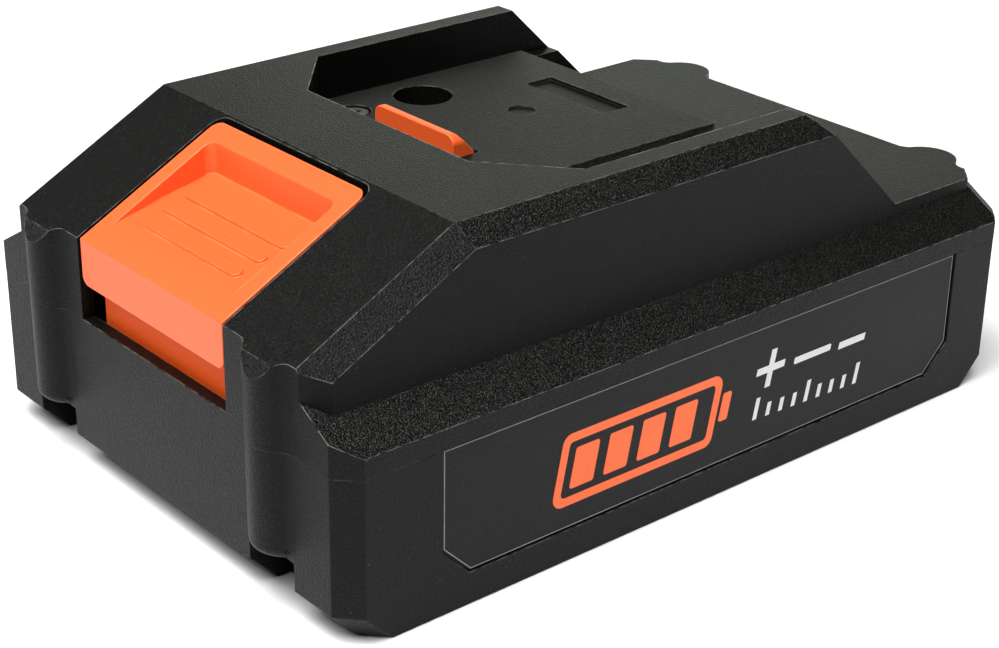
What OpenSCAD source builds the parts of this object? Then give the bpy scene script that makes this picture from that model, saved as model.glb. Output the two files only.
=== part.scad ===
// Slide-on battery pack for a cordless tool.
// Millimetres, +Z up. X is the width, -Y is the end with the release button, and the
// origin is the centre of the base. Five cells lie across the pack, and the housing is
// sized around them: most heights and lengths are added up from the cells outwards.

/* [Cells] */
// Diameter of a cell in its sleeve
cell_d = 18.4; // [18:0.1:19]
// Length of a cell over its contacts
cell_l = 65.2; // [64:0.2:70]
// Running clearance around a cell in its carrier
cell_gap = 0.15; // [0.1:0.05:0.4]
// Thickness of the carrier between two cells
cell_web = 0.5; // [0.4:0.1:1.5]
// Thickness of the carrier outside the cells
carrier_skin = 0.75; // [0.6:0.05:1.2]
// Thickness of a welded strip
strip_t = 0.3; // [0.1:0.05:0.4]
// Width of a welded strip
strip_w = 8; // [6:0.5:10]
// Width of the tab from a strip to the board
tab_w = 5; // [3:0.5:6]
// Thickness of the sheet over the strips
insulator_t = 0.25; // [0.15:0.05:0.4]

/* [Housing] */
// Wall of both housing halves
wall = 1.8; // [1.6:0.1:2.2]
// Room beside the cells for strips and pads
side_room = 3.6; // [3:0.2:6]
// Room in front of and behind the carrier
end_room = 5.4; // [5.2:0.2:8]
// Room between the carrier and the deck for the board
board_room = 4.1; // [3.6:0.1:6]
// Thickness of the deck
deck_t = 2.2; // [1.8:0.1:3]
// Chamfer of the upright corners
corner_c = 2.7; // [1.5:0.1:4]
// Chamfer of the front and rear edges of the base
base_c = 3.8; // [2:0.1:5]
// Height of the upper half's upright brim over the seam
brim_h = 2.5; // [1.5:0.1:4]
// Width of the sloping shoulder
shoulder_run = 5.3; // [4:0.1:7]
// Height of the deck over the outer edge of the shoulder
shoulder_rise = 4.6; // [3.6:0.1:5.2]
// Length of the bevel at the rear end of each shoulder
bevel_run = 2; // [1:0.1:2.4]
// Depth of that bevel
bevel_drop = 1.2; // [0.6:0.1:1.8]

/* [Tower] */
// Height of the rails over the deck
rail_h = 15; // [14:0.5:18]
// Chamfer of the tower's upright corners
tower_c = 2.6; // [1.5:0.1:3]
// Width of the chamfer along the tower's upper edges
edge_run = 3; // [2:0.1:3.2]
// Depth of the chamfer along the tower's upper edges
edge_drop = 2.4; // [1.5:0.1:2.6]
// Length of the front slope, measured along Y
slope_run = 21.7; // [21:0.1:24]
// Fall of the front slope in degrees
slope_angle = 27.4; // [24:0.2:30]
// Wall of the tower's sides over the front room
tower_wall = 2.6; // [2:0.1:3]
// Wall of the tower's top and front slope
roof_t = 2.2; // [1.8:0.1:2.6]

/* [Slide rail] */
// Width of a rail from the outside to the channel
rail_w = 6.1; // [5.6:0.1:7]
// Width of the ledge low on the channel side of a rail
ledge_w = 2.2; // [1.5:0.1:2.5]
// Depth of that ledge below the rail's top
ledge_drop = 6.8; // [6.2:0.1:8]
// Distance of the recess's front wall ahead of the centre
recess_front = 20.9; // [20:0.1:22]
// Half width of the straight part of that wall
recess_half = 16.2; // [15:0.1:18]
// Length of the recess's slanted corners along Y
recess_corner = 9.1; // [7:0.1:11]
// Distance of the rails' upper rear ends behind the centre
rail_end = 22.5; // [20:0.5:26]
// Fall of the rails' rear ends in degrees
rear_angle = 43.9; // [42:0.1:60]
// Width of the rail plate
plate_w = 39; // [37:0.2:40]
// Thickness of the rail plate
plate_t = 3; // [2.4:0.1:3.4]
// Depth of the rail plate below the rails' tops
plate_drop = 3; // [2.6:0.1:3.4]
// Distance of the rail plate's rear edge behind the centre
plate_end = 18.2; // [17.4:0.1:20]
// Radius of the rail plate's rear corners
plate_r = 2; // [1:0.1:3]
// Chamfer of the rail plate's upper edges
plate_c = 0.6; // [0.3:0.1:0.9]
// Gap between the rail plate and the recess's front wall
plate_gap = 0.2; // [0.1:0.05:0.3]
// Width of the platform under the rail plate
core_w = 32.6; // [32:0.2:34]
// Distance of the platform's rear face behind the centre
core_end = 16.4; // [16:0.1:17]
// Radius of the well in the rail plate
well_r = 3.9; // [3:0.1:4.2]
// Distance of the well ahead of the centre
well_y = 5.1; // [4:0.1:6]

/* [Release latch] */
// Width of the button
button_w = 30.8; // [28:0.2:32]
// Gap beside the button
button_gap = 0.4; // [0.3:0.05:0.6]
// Gap behind the button
button_back_gap = 0.7; // [0.4:0.1:1]
// Distance of the button's rear edge below the slope's upper edge
button_set = 1.1; // [0.9:0.1:2]
// Radius of the button's rear corners
button_r = 1.5; // [0.8:0.1:2.5]
// Gap left under the button's front lip when it is pressed in
lip_gap = 0.7; // [0.4:0.05:1]
// Thickness of the button's front lip
lip_t = 2.2; // [2:0.1:2.6]
// Setback of the lip from the front wall
lip_set = 0.15; // [0.05:0.05:0.3]
// Radius of the lip's lower corners
lip_r = 1.3; // [0.6:0.1:2]
// Floor thickness of the button
button_t = 2; // [1.6:0.1:2.4]
// Width of the finger dish
dish_w = 26; // [22:0.5:27]
// Rim behind the finger dish
dish_back = 2.7; // [2:0.1:4]
// Rim in front of the finger dish
dish_front = 3.5; // [3:0.1:6]
// Depth of the finger dish at its back
dish_depth = 4.1; // [3:0.1:4.4]
// Radius of the dish's rear corners
dish_r = 1.2; // [0.6:0.1:2]
// Half the width of a grip rib
rib_r = 0.75; // [0.6:0.05:1.2]
// Height of a grip rib over the dish's floor
rib_h = 0.35; // [0.2:0.05:0.6]
// Distance between two grip ribs
rib_pitch = 3.4; // [3:0.1:3.8]
// Distance of the middle grip rib ahead of the dish's middle
rib_shift = 1.2; // [0.6:0.1:1.4]
// Length of a grip rib
rib_l = 20.8; // [16:0.2:21]
// Travel of the button
latch_travel = 4.2; // [3.4:0.1:4.6]
// Width of the skirt behind the front wall
skirt_w = 27.6; // [24:0.2:28]
// Thickness of that skirt
skirt_t = 1.8; // [1.4:0.1:2]
// Length of that skirt below the lip
skirt_l = 9.5; // [6:0.5:10]
// Clearance between the skirt and the front wall
skirt_gap = 0.3; // [0.3:0.05:0.5]
// Width of the flanges that hold the button in
flange_w = 2.2; // [1.5:0.1:3]
// Thickness of those flanges
flange_t = 1.6; // [1.2:0.1:2]
// Clearance over those flanges and over the arm
stop_gap = 0.35; // [0.3:0.05:0.6]
// Width of the hook
hook_w = 15.8; // [12:0.2:16]
// Distance of the hook's front face ahead of the centre
hook_front = 16.5; // [16:0.1:17.2]
// Length of the hook along Y
hook_l = 3.4; // [2.8:0.1:4]
// Length of the hook's flat top
hook_flat = 1; // [0.6:0.1:1.6]
// Height of the hook over the rail plate
hook_h = 2.6; // [2:0.1:2.8]
// Radius of the hook's upper corners
hook_r = 1.3; // [0.6:0.1:1.8]
// Gap around the hook in the rail plate
hook_gap = 0.4; // [0.3:0.05:0.6]
// Thickness of the arm between button and hook
arm_t = 3.6; // [2.8:0.1:4]
// Outer diameter of a latch spring
spring_d = 6.4; // [5.6:0.1:7]
// Wire diameter of a latch spring
wire_d = 0.7; // [0.5:0.05:0.8]
// Distance of the springs from the middle
spring_x = 9; // [8:0.5:10]
// Distance of the springs behind the front wall
spring_in = 11.5; // [11:0.1:12]
// Play at each end of a spring
spring_gap = 0.1; // [0.05:0.05:0.2]
// Depth of the seat over a spring
seat_h = 0.7; // [0.5:0.1:1]
// Height of the pegs inside a spring
peg_h = 2; // [1.6:0.1:2.4]
// Gap between a peg and its spring
peg_gap = 0.6; // [0.4:0.1:0.8]

/* [Screw posts] */
// Distance of the posts from the middle
post_x = 23.9; // [23:0.1:25]
// Radius of a post
post_r = 4.2; // [3.8:0.1:4.6]
// Depth of a front post's centre behind the wall's face
post_in = 2; // [1.6:0.1:2.4]
// Depth of a rear post's centre behind the wall's face
rear_post_in = 0.7; // [0.6:0.1:2.4]
// Radius of the fillet between post and wall
post_fillet = 2; // [1:0.1:2.4]
// Radius of a post's rounded lower end
post_round = 1.3; // [0.6:0.1:1.8]
// Length of the bevel on top of a front post
post_bevel = 1.2; // [0.6:0.1:1.6]
// Fall of that bevel in degrees
post_angle = 60; // [50:1:66]
// Width of the pocket under a post
pocket_w = 8.7; // [8:0.1:9.2]
// Height of that pocket
pocket_h = 7.4; // [6:0.1:9]
// Depth of that pocket behind the screw
pocket_in = 3.5; // [3.3:0.1:3.6]
// Thickness of the walls round that pocket
pocket_wall = 1.2; // [1:0.1:1.3]
// Diameter of a housing screw
screw_d = 3; // [2.6:0.1:3.5]
// Length of a housing screw under its head
screw_l = 13; // [12:0.5:13.5]
// Diameter of a housing screw's head
head_d = 6; // [5:0.1:6.4]
// Height of a housing screw's head
head_h = 2.2; // [1.6:0.1:2.6]
// Depth of the counterbore for that head
head_sink = 3; // [2.7:0.1:3.5]
// Clearance around every screw in its hole
screw_gap = 0.15; // [0.1:0.05:0.3]

/* [Side label] */
// Distance of the label recess's front end ahead of the centre
label_front = 42.2; // [30:0.1:46]
// Distance of its rear end behind the centre
label_rear = 45.2; // [30:0.1:46]
// Height of its lower edge
label_base = 4.2; // [3:0.1:8]
// Chamfer of its lower corners
label_c = 3.9; // [1:0.1:6]
// Depth of the label recess
label_depth = 0.6; // [0.4:0.05:0.8]
// Thickness of the label
label_t = 0.35; // [0.2:0.05:0.35]
// Gap around the label
label_gap = 0.3; // [0.2:0.05:0.6]

/* [Electronics] */
// Width of the protection board
board_w = 52; // [48:0.5:56]
// Thickness of the protection board
board_t = 1.2; // [1:0.1:1.6]
// Height of the board over the carrier
board_stand = 0.5; // [0.4:0.05:0.8]
// Length of the board ahead of the centre
board_front = 37; // [36.5:0.1:38]
// Length of the board behind the centre
board_rear = 42; // [41:0.5:45]
// Diameter of a small screw
small_d = 2; // [1.6:0.1:2.2]
// Diameter of a small screw's head
small_head_d = 3.8; // [3:0.1:4]
// Height of a small screw's head
small_head_h = 1.3; // [1:0.1:1.4]
// Length of a small screw under its head
small_l = 5.5; // [5:0.1:5.8]
// Distance of the board's screws from the middle
board_screw_x = 18; // [17:0.5:20]
// Distance of the plate's screws in from the platform's side
plate_screw_in = 3.1; // [2.6:0.1:3.3]
// Distance of the plate's screws ahead of the centre
plate_screw_y = 15.8; // [15:0.1:16]
// Depth of a plate screw's head below the plate
small_sink = 0.2; // [0.1:0.05:0.3]
// Gap between the terminal block and the platform
block_gap = 0.3; // [0.2:0.05:0.4]
// Outer skin of the terminal block beside the contacts
block_skin = 0.6; // [0.4:0.1:1]
// Length of the terminal block
block_l = 11.2; // [10.6:0.1:12]
// Wall between two contact chambers
chamber_wall = 2.2; // [1.8:0.1:2.4]
// Gap between a contact and its chamber
fork_gap = 0.4; // [0.3:0.05:0.5]
// Width of a contact's leg
leg_w = 2; // [1.6:0.1:2.4]
// Width of a contact slot
contact_slot = 1.8; // [1.4:0.1:2.4]
// Height of a contact slot
contact_h = 6; // [5:0.1:7]
// Height of the contact slots over the deck
contact_rise = 0.9; // [0.6:0.1:1.5]
// Thickness of the contacts' sheet metal
contact_t = 0.5; // [0.4:0.05:0.7]
// Diameter of the thermistor
thermistor_d = 3.2; // [2.6:0.1:3.6]
// Width of a power transistor
transistor_w = 6.6; // [6:0.1:7]
// Length of a power transistor
transistor_l = 6.1; // [5.6:0.1:6.6]
// Height of a power transistor
transistor_h = 2.3; // [1.8:0.1:2.4]
// Distance of the power transistors from the middle
transistor_x = 6.4; // [5:0.1:8]
// Distance of the power transistors ahead of the centre
transistor_y = 6; // [4:0.1:8]
// Thickness of the legs of transistors and controller
leg_t = 0.6; // [0.4:0.05:0.6]
// Spacing of the controller's legs
pin_pitch = 1.27; // [1:0.01:1.4]
// Length of the controller's body
chip_l = 4; // [3.6:0.1:4.4]
// Height of the controller's body
chip_h = 1.6; // [1.2:0.1:1.8]
// Distance of the controller behind the board's front edge
chip_in = 11; // [9:0.5:13]
// Width of the shunt resistor
shunt_w = 6.4; // [5:0.1:7]
// Length of the shunt resistor
shunt_l = 3.2; // [2.6:0.1:3.4]
// Height of the shunt resistor
shunt_h = 0.8; // [0.6:0.1:1]
// Distance of the shunt resistor behind the centre
shunt_y = 25.6; // [24:0.1:28]

/* [Hidden] */
$fn = 64;
cell_count = 5;
contact_count = 4;
pin_count = 8;
spring_turns = 6;
eps = 0.01;
lap = 1;
far = 200;

// Cells and carrier
cell_pitch = cell_d + 2 * cell_gap + cell_web;
carrier_r = cell_d / 2 + cell_gap + carrier_skin;
carrier_half = (cell_count - 1) / 2 * cell_pitch + carrier_r;
cell_z = wall + carrier_r;
carrier_top = cell_z + carrier_r;
carrier_split = 0.15;
strip_x = cell_l / 2;

// Housing, from the cells outwards
body_w = cell_l + 2 * (side_room + wall);
body_l = 2 * (carrier_half + end_room + wall);
roof_z = carrier_top + board_room;
deck_z = roof_z + deck_t;
shoulder_z = deck_z - shoulder_rise;
shoulder_grade = shoulder_rise / (shoulder_run + tower_c);
tower_z = shoulder_z + shoulder_run * shoulder_grade;
seam_z = shoulder_z - brim_h;
body_h = deck_z + rail_h;
tower_w = body_w - 2 * shoulder_run;
inner_w = body_w - 2 * wall;

// Slide rail
rail_in = tower_w / 2 - rail_w;
ledge_in = rail_in - ledge_w;
ledge_z = body_h - ledge_drop;
plate_top = body_h - plate_drop;
plate_z = plate_top - plate_t;
plate_seat = plate_top - small_head_h - small_sink;
core_wall = wall;
well_x = core_w / 2 - well_r;
plate_screw_x = core_w / 2 - plate_screw_in;

// Front slope
slope_y = body_l / 2 - slope_run;
function slope_z(y) = body_h + (y + slope_y) * tan(slope_angle);
slope_wall = roof_t / cos(slope_angle);

// Release latch
button_y0 = -body_l / 2 + lip_set;
button_y1 = -slope_y - button_set;
lip_z = seam_z + latch_travel + lip_gap;
dish_y0 = -body_l / 2 + dish_front;
dish_y1 = button_y1 - dish_back;
dish_z0 = slope_z(dish_y0);
dish_z1 = slope_z(dish_y1) - dish_depth;
dish_fall = (dish_z1 - dish_z0) / (dish_y1 - dish_y0);
function floor_z(y) = dish_z1 + (y - dish_y1) * dish_fall;
function under_z(y) = floor_z(y) - button_t;
rib_y = (dish_y0 + dish_y1) / 2 - rib_shift;
skirt_y = -body_l / 2 + wall + skirt_gap;
arm_z1 = plate_z - 2 * stop_gap;
arm_z0 = arm_z1 - arm_t;
arm_w = hook_w - 2 * stop_gap;
hook_y0 = -hook_front;
hook_y1 = hook_y0 + hook_l;
spring_y = -body_l / 2 + spring_in;
spring_z = under_z(spring_y) - seat_h;
peg_r = spring_d / 2 - wire_d - peg_gap;

// Screw posts
post_end = body_l / 2 - post_in + post_r - post_bevel;
screw_z = pocket_h + head_sink;
pilot_spare = 0.5;
pilot_z = screw_z + screw_l + pilot_spare;

// Electronics
board_z0 = carrier_top + board_stand;
board_z = board_z0 + board_t;
board_screw_y = 1.5 * cell_pitch;
chip_y = board_front - chip_in;
contact_z = deck_z + contact_rise;
block_w = core_w - 2 * (core_wall + block_gap);
block_y1 = core_end - core_wall - block_gap;
block_y0 = block_y1 - block_l;
contact_pitch = (block_w - 2 * block_skin) / contact_count;
chamber_w = contact_pitch - chamber_wall;
chamber_y = block_y0 + chamber_wall / 2;

strip_names = [
    "negative_strip", "link_strip_1", "link_strip_2", "link_strip_3", "link_strip_4", "positive_strip"
];

// A rectangle in plan with 45 degree corners, or its inside at a given inset
module chamfered_plan(w, l, c, inset = 0) {
    x = w / 2 - inset;
    y = l / 2 - inset;
    k = max(c - inset * (2 - sqrt(2)), eps);
    polygon([
        [x, -y + k], [x, y - k], [x - k, y], [-x + k, y],
        [-x, y - k], [-x, -y + k], [-x + k, -y], [x - k, -y]
    ]);
}

// Copies of a child in all four quarters
module quarters() {
    for (mx = [0, 1], my = [0, 1])
        mirror([mx, 0, 0]) mirror([0, my, 0]) children();
}

// Copies of a child on both sides of the middle plane
module both_sides() {
    for (m = [0, 1]) mirror([m, 0, 0]) children();
}

// An outline in X and Z, pushed along Y from y0 to y1
module along_y(y0, y1) {
    translate([0, y1, 0]) rotate([90, 0, 0]) linear_extrude(y1 - y0) children();
}

// An outline in Y and Z, pushed along X from x0 to x1
module along_x(x0, x1) {
    translate([x0, 0, 0]) rotate([90, 0, 90]) linear_extrude(x1 - x0) children();
}

// A block between two corners
module block(a, b) {
    translate(a) cube(b - a);
}

// Everything below a plane that slopes along Y by an angle and passes through height z at y
module below(y, z, angle) {
    translate([0, y, z]) rotate([angle, 0, 0]) block([-far, -far, -far], [far, far, 0]);
}

// What is drawn for a right post at the rear goes to both posts at the front
module at_front() {
    both_sides() mirror([0, 1, 0]) children();
}

// The axis of a right post at the rear, whose centre lies a given depth behind the wall's face
module post_axis(sink, z) {
    translate([post_x, body_l / 2 - sink, z]) children();
}

// One rear right post in plan, with the fillets that run out on the wall
module post_plan(sink) {
    face = body_l / 2;
    f = post_fillet;
    reach = sqrt(pow(post_r + f, 2) - pow(sink + f, 2));
    tangent_y = face - sink + (sink + f) * post_r / (post_r + f);
    translate([post_x, face - sink]) circle(post_r);
    difference() {
        translate([post_x - reach, face - wall]) square([2 * reach, tangent_y - face + wall]);
        for (s = [-1, 1]) translate([post_x + s * reach, face + f]) circle(f);
    }
}

// The lower half's solid form, or its inside at a given inset
module tub_block(inset = 0) {
    front = body_l / 2;
    edge = base_c + inset * sqrt(2);
    facet = body_w / 2 + front - corner_c - base_c - inset * sqrt(3);
    difference() {
        translate([0, 0, inset]) linear_extrude(seam_z - inset)
            chamfered_plan(body_w, body_l, corner_c, inset);
        for (m = [0, 1]) mirror([0, m, 0]) below(-front + edge, 0, -45);
        quarters() rotate([0, 90 + atan(1 / sqrt(2)), 45])
            block([-far, -far, facet / sqrt(3)], [far, far, far]);
    }
}

// One rear right post of the lower half, rounded at its lower end
module tub_post(sink) {
    round_z = pocket_h + post_round;
    translate([0, 0, round_z]) linear_extrude(seam_z - round_z) post_plan(sink);
    post_axis(sink, pocket_h) rotate_extrude() {
        square([post_r - post_round, 2 * post_round]);
        intersection() {
            translate([post_r - post_round, post_round]) circle(post_round);
            square([post_r, post_round]);
        }
    }
}

// What one rear right post keeps solid inside the lower half
module post_core(sink) {
    y = body_l / 2 - sink;
    block([post_x - pocket_w / 2 - pocket_wall, y - pocket_in - pocket_wall, 0],
          [post_x + pocket_w / 2 + pocket_wall, body_l / 2, pocket_h + pocket_wall]);
    post_axis(sink, 0) cylinder(r = post_r, h = seam_z);
}

// The pocket, counterbore and bore of one rear right post in the lower half
module post_bores(sink) {
    y = body_l / 2 - sink;
    block([post_x - pocket_w / 2, y - pocket_in, -eps], [post_x + pocket_w / 2, y + 2 * post_r, pocket_h]);
    post_axis(sink, 0) {
        cylinder(d = screw_d + 2 * screw_gap, h = seam_z + eps);
        cylinder(d = head_d + 2 * screw_gap, h = screw_z);
    }
}

// The label's outline in Y and Z, smaller than its recess by a gap, up to height z1
module label_outline(gap, z1) {
    y0 = -label_front + gap;
    y1 = label_rear - gap;
    z0 = label_base + gap;
    polygon([
        [y0 + label_c, z0], [y1 - label_c, z0], [y1, z0 + label_c], [y1, z1], [y0, z1], [y0, z0 + label_c]
    ]);
}

// The tub, with posts, screw pockets, stops for the carrier and the label recess
module lower_housing() {
    stop_w = 2;
    stop_in = 6;
    stop_x = inner_w / 2 - stop_in;
    color("#1b1c1e") difference() {
        union() {
            difference() {
                tub_block();
                difference() {
                    tub_block(wall);
                    at_front() post_core(post_in);
                    both_sides() post_core(rear_post_in);
                    quarters() block([stop_x, carrier_half + 2 * cell_gap, 0],
                                     [stop_x + stop_w, body_l / 2, cell_z]);
                }
                translate([0, 0, seam_z]) linear_extrude(2 * wall) square([far, far], center = true);
            }
            at_front() tub_post(post_in);
            both_sides() tub_post(rear_post_in);
        }
        at_front() post_bores(post_in);
        both_sides() post_bores(rear_post_in);
        along_x(body_w / 2 - label_depth, body_w / 2 + label_depth) label_outline(0, seam_z + wall);
    }
}

// The tower's cross-section: upright sides and chamfered upper edges, with its top at z = 0
module tower_section() {
    x = tower_w / 2;
    polygon([
        [-x, -far], [x, -far], [x, -edge_drop], [x - edge_run, 0], [-x + edge_run, 0], [-x, -edge_drop]
    ]);
}

// The tower's plan with the posts of one or both ends
module tower_plan(rear_posts) {
    chamfered_plan(tower_w, body_l, tower_c);
    both_sides() mirror([0, 1]) post_plan(post_in);
    if (rear_posts) both_sides() post_plan(rear_post_in);
}

// What the bevel takes off the rear end of the right shoulder
module shoulder_bevel() {
    fall = bevel_drop / bevel_run;
    translate([body_w / 2, body_l / 2 - bevel_run, shoulder_z])
        rotate([0, atan(norm([shoulder_grade, fall])), atan2(fall, shoulder_grade)])
            block([-far, -far, 0], [far, far, far]);
}

// The upper half's solid form, without recess, notch and inside
module lid_block() {
    top_x = tower_w / 2 - tower_c;
    difference() {
        intersection() {
            translate([0, 0, seam_z]) linear_extrude(rail_h) chamfered_plan(body_w, body_l, corner_c);
            along_y(-body_l, body_l) polygon([
                [-body_w / 2, 0], [body_w / 2, 0], [body_w / 2, shoulder_z], [top_x, deck_z],
                [-top_x, deck_z], [-body_w / 2, shoulder_z]
            ]);
        }
        both_sides() shoulder_bevel();
    }
    translate([0, 0, seam_z]) linear_extrude(deck_z - seam_z) tower_plan(true);
    intersection() {
        translate([0, 0, tower_z]) linear_extrude(body_h - tower_z) tower_plan(false);
        translate([0, 0, body_h]) along_y(-body_l, body_l) tower_section();
        translate([0, -slope_y, body_h]) rotate([slope_angle, 0, 0]) along_y(-body_l, body_l) tower_section();
        below(-post_end, slope_z(-post_end), post_angle);
        below(rail_end, body_h, -rear_angle);
    }
}

// The recess between the rails in plan, at a given half width
module recess_plan(half) {
    slant = recess_corner / (rail_in - recess_half);
    polygon([
        [-recess_half, -recess_front], [recess_half, -recess_front],
        [half, -recess_front + (half - recess_half) * slant], [half, body_l],
        [-half, body_l], [-half, -recess_front + (half - recess_half) * slant]
    ]);
}

// The opening for the button in plan, at a given gap to the button
module button_plan(side_gap = 0, back_gap = 0, front = button_y0) {
    x = button_w / 2 + side_gap;
    y = button_y1 + back_gap;
    r = button_r + side_gap;
    translate([-x, front]) square([2 * x, y - r - front]);
    translate([-x + r, front]) square([2 * (x - r), y - front]);
    for (s = [-1, 1]) translate([s * (x - r), y - r]) circle(r);
}

// The room inside the upper half: under the deck, in the front block, in the rails and in the platform
module lid_room() {
    tilt = atan(shoulder_grade);
    low_z = shoulder_z + (wall * tan(tilt)) - wall / cos(tilt);
    low_x = body_w / 2 - wall;
    high_x = low_x - (roof_z - low_z) / tan(tilt);
    front = -body_l / 2 + wall;
    function rear_y(z) = rail_end + (body_h - z) / tan(rear_angle) - wall / sin(rear_angle);
    rail_top = ledge_z - wall;
    rail_y0 = -recess_front + wall;
    low = roof_z - lap;
    intersection() {
        translate([0, 0, seam_z - eps]) linear_extrude(roof_z - seam_z + eps)
            chamfered_plan(body_w, body_l, corner_c, wall);
        along_y(-body_l, body_l) polygon([
            [-low_x, 0], [low_x, 0], [low_x, low_z], [high_x, roof_z], [-high_x, roof_z], [-low_x, low_z]
        ]);
    }
    intersection() {
        block([-tower_w / 2 + tower_wall, front, low],
              [tower_w / 2 - tower_wall, -recess_front - wall, body_h - roof_t]);
        below(-slope_y, body_h - slope_wall, slope_angle);
    }
    both_sides() along_x(ledge_in + wall, tower_w / 2 - wall) polygon([
        [rail_y0, low], [rear_y(low), low], [rear_y(rail_top), rail_top], [rail_y0, rail_top]
    ]);
    block([-core_w / 2 + core_wall, -recess_front - 2 * wall, low],
          [core_w / 2 - core_wall, core_end - core_wall, plate_z + eps]);
}

// The lid, with rails, platform, button notch, posts and screw bosses
module upper_housing() {
    boss_r = 2.5;
    floor_in = 6;
    floor_t = 3;
    floor_lip = 1.5;
    color("#1b1c1e") difference() {
        union() {
            difference() {
                lid_block();
                translate([0, 0, ledge_z]) linear_extrude(far) recess_plan(rail_in);
                difference() {
                    translate([0, 0, deck_z]) linear_extrude(far) recess_plan(ledge_in);
                    block([-core_w / 2, -recess_front - wall, 0], [core_w / 2, core_end, plate_z]);
                }
                lid_room();
                translate([0, 0, seam_z - eps]) linear_extrude(far)
                    button_plan(button_gap, button_back_gap, -body_l);
            }
            intersection() {
                union() {
                    at_front() post_axis(post_in, seam_z) cylinder(r = post_r, h = roof_z + eps - seam_z);
                    both_sides() post_axis(rear_post_in, seam_z) cylinder(r = post_r, h = roof_z + eps - seam_z);
                }
                lid_block();
            }
            both_sides() translate([plate_screw_x, -plate_screw_y, roof_z])
                cylinder(r = boss_r, h = plate_z - roof_z);
            translate([-well_x, -well_y, plate_z - floor_in]) cylinder(r = well_r, h = floor_t);
        }
        at_front() post_axis(post_in, seam_z - eps)
            cylinder(d = screw_d + 2 * screw_gap, h = pilot_z - seam_z);
        both_sides() post_axis(rear_post_in, seam_z - eps)
            cylinder(d = screw_d + 2 * screw_gap, h = pilot_z - seam_z);
        both_sides() translate([plate_screw_x, -plate_screw_y, plate_z - small_l])
            cylinder(d = small_d + 2 * screw_gap, h = small_l + eps);
        translate([-well_x, -well_y, 0]) cylinder(r = well_r - floor_lip, h = far);
        for (i = [0:contact_count - 1]) translate([contact_x(i), core_end, contact_z + contact_h / 2])
            cube([contact_slot, 4 * core_wall, contact_h], center = true);
    }
}

// The cover on the platform, with its overhanging edges
module rail_plate() {
    x = plate_w / 2;
    y0 = -recess_front + plate_gap;
    slant = recess_corner / (rail_in - recess_half);
    nose = recess_half - plate_gap;
    side_y = y0 + (x - nose) * slant;
    mark_w = 15.2;
    mark_l = 4.4;
    mark_y = 11;
    mark_depth = 0.4;
    spot_r = 1.8;
    spot_y = 1.4;
    spot_depth = 0.25;
    color("#1b1c1e") difference() {
        intersection() {
            translate([0, 0, plate_z]) linear_extrude(plate_t) {
                polygon([
                    [-nose, y0], [nose, y0], [x, side_y], [x, plate_end - plate_r], [x - plate_r, plate_end],
                    [plate_r - x, plate_end], [-x, plate_end - plate_r], [-x, side_y]
                ]);
                for (s = [-1, 1]) translate([s * (x - plate_r), plate_end - plate_r]) circle(plate_r);
            }
            along_y(-body_l, body_l) polygon([
                [-x, 0], [x, 0], [x, plate_top - plate_c], [x - plate_c, plate_top],
                [plate_c - x, plate_top], [-x, plate_top - plate_c]
            ]);
            along_x(-body_w, body_w) polygon([
                [-body_l, 0], [plate_end, 0], [plate_end, plate_top - plate_c],
                [plate_end - plate_c, plate_top], [-body_l, plate_top]
            ]);
        }
        block([-hook_w / 2 - hook_gap, hook_y0 - hook_gap, 0],
              [hook_w / 2 + hook_gap, hook_y1 + hook_gap, far]);
        translate([-well_x, -well_y, 0]) cylinder(r = well_r, h = far);
        both_sides() translate([plate_screw_x, -plate_screw_y, 0]) {
            cylinder(d = small_d + 2 * screw_gap, h = far);
            translate([0, 0, plate_seat]) cylinder(d = small_head_d + 4 * screw_gap, h = far);
        }
        translate([-mark_w / 2, mark_y - mark_l / 2, plate_top - mark_depth]) cube([mark_w, mark_l, lap]);
        translate([0, spot_y, plate_top - spot_depth]) cylinder(r = spot_r, h = lap);
    }
}

// A pan-head screw with a cross slot, head up, its seat at z = 0
module screw(d, l, hd, hh) {
    difference() {
        union() {
            translate([0, 0, -l]) cylinder(d = d, h = l);
            cylinder(d = hd, h = hh);
        }
        for (a = [0, 90]) rotate(a) translate([0, 0, hh])
            cube([hd * 0.55, hd * 0.14, hh], center = true);
    }
}

module rail_plate_screws() {
    color("#b9bcc0") both_sides()
        translate([plate_screw_x, -plate_screw_y, plate_seat])
            screw(small_d, small_l, small_head_d, small_head_h);
}

// One housing screw, its head down on z = 0
module housing_screw() {
    mirror([0, 0, 1]) screw(screw_d, screw_l, head_d, head_h);
}

module housing_screws() {
    color("#8d9094") {
        at_front() post_axis(post_in, screw_z) housing_screw();
        both_sides() post_axis(rear_post_in, screw_z) housing_screw();
    }
}

// A flat grip rib with round ends, along X, sunk by half its height
module grip_rib() {
    half = rib_l / 2 - rib_r;
    linear_extrude(2 * rib_h, center = true) {
        square([2 * half, 2 * rib_r], center = true);
        for (s = [-1, 1]) translate([s * half, 0]) circle(rib_r);
    }
}

// The finger dish as a cut: a sloping floor, deepest at the back
module finger_dish() {
    intersection() {
        along_x(-dish_w / 2, dish_w / 2) polygon([
            [dish_y0, dish_z0], [dish_y1, dish_z1], [dish_y1, body_h], [dish_y0, body_h]
        ]);
        linear_extrude(far) {
            x = dish_w / 2;
            translate([-x, -body_l]) square([2 * x, body_l + dish_y1 - dish_r]);
            translate([dish_r - x, -body_l]) square([2 * (x - dish_r), body_l + dish_y1]);
            for (s = [-1, 1]) translate([s * (x - dish_r), dish_y1 - dish_r]) circle(dish_r);
        }
    }
}

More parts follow.
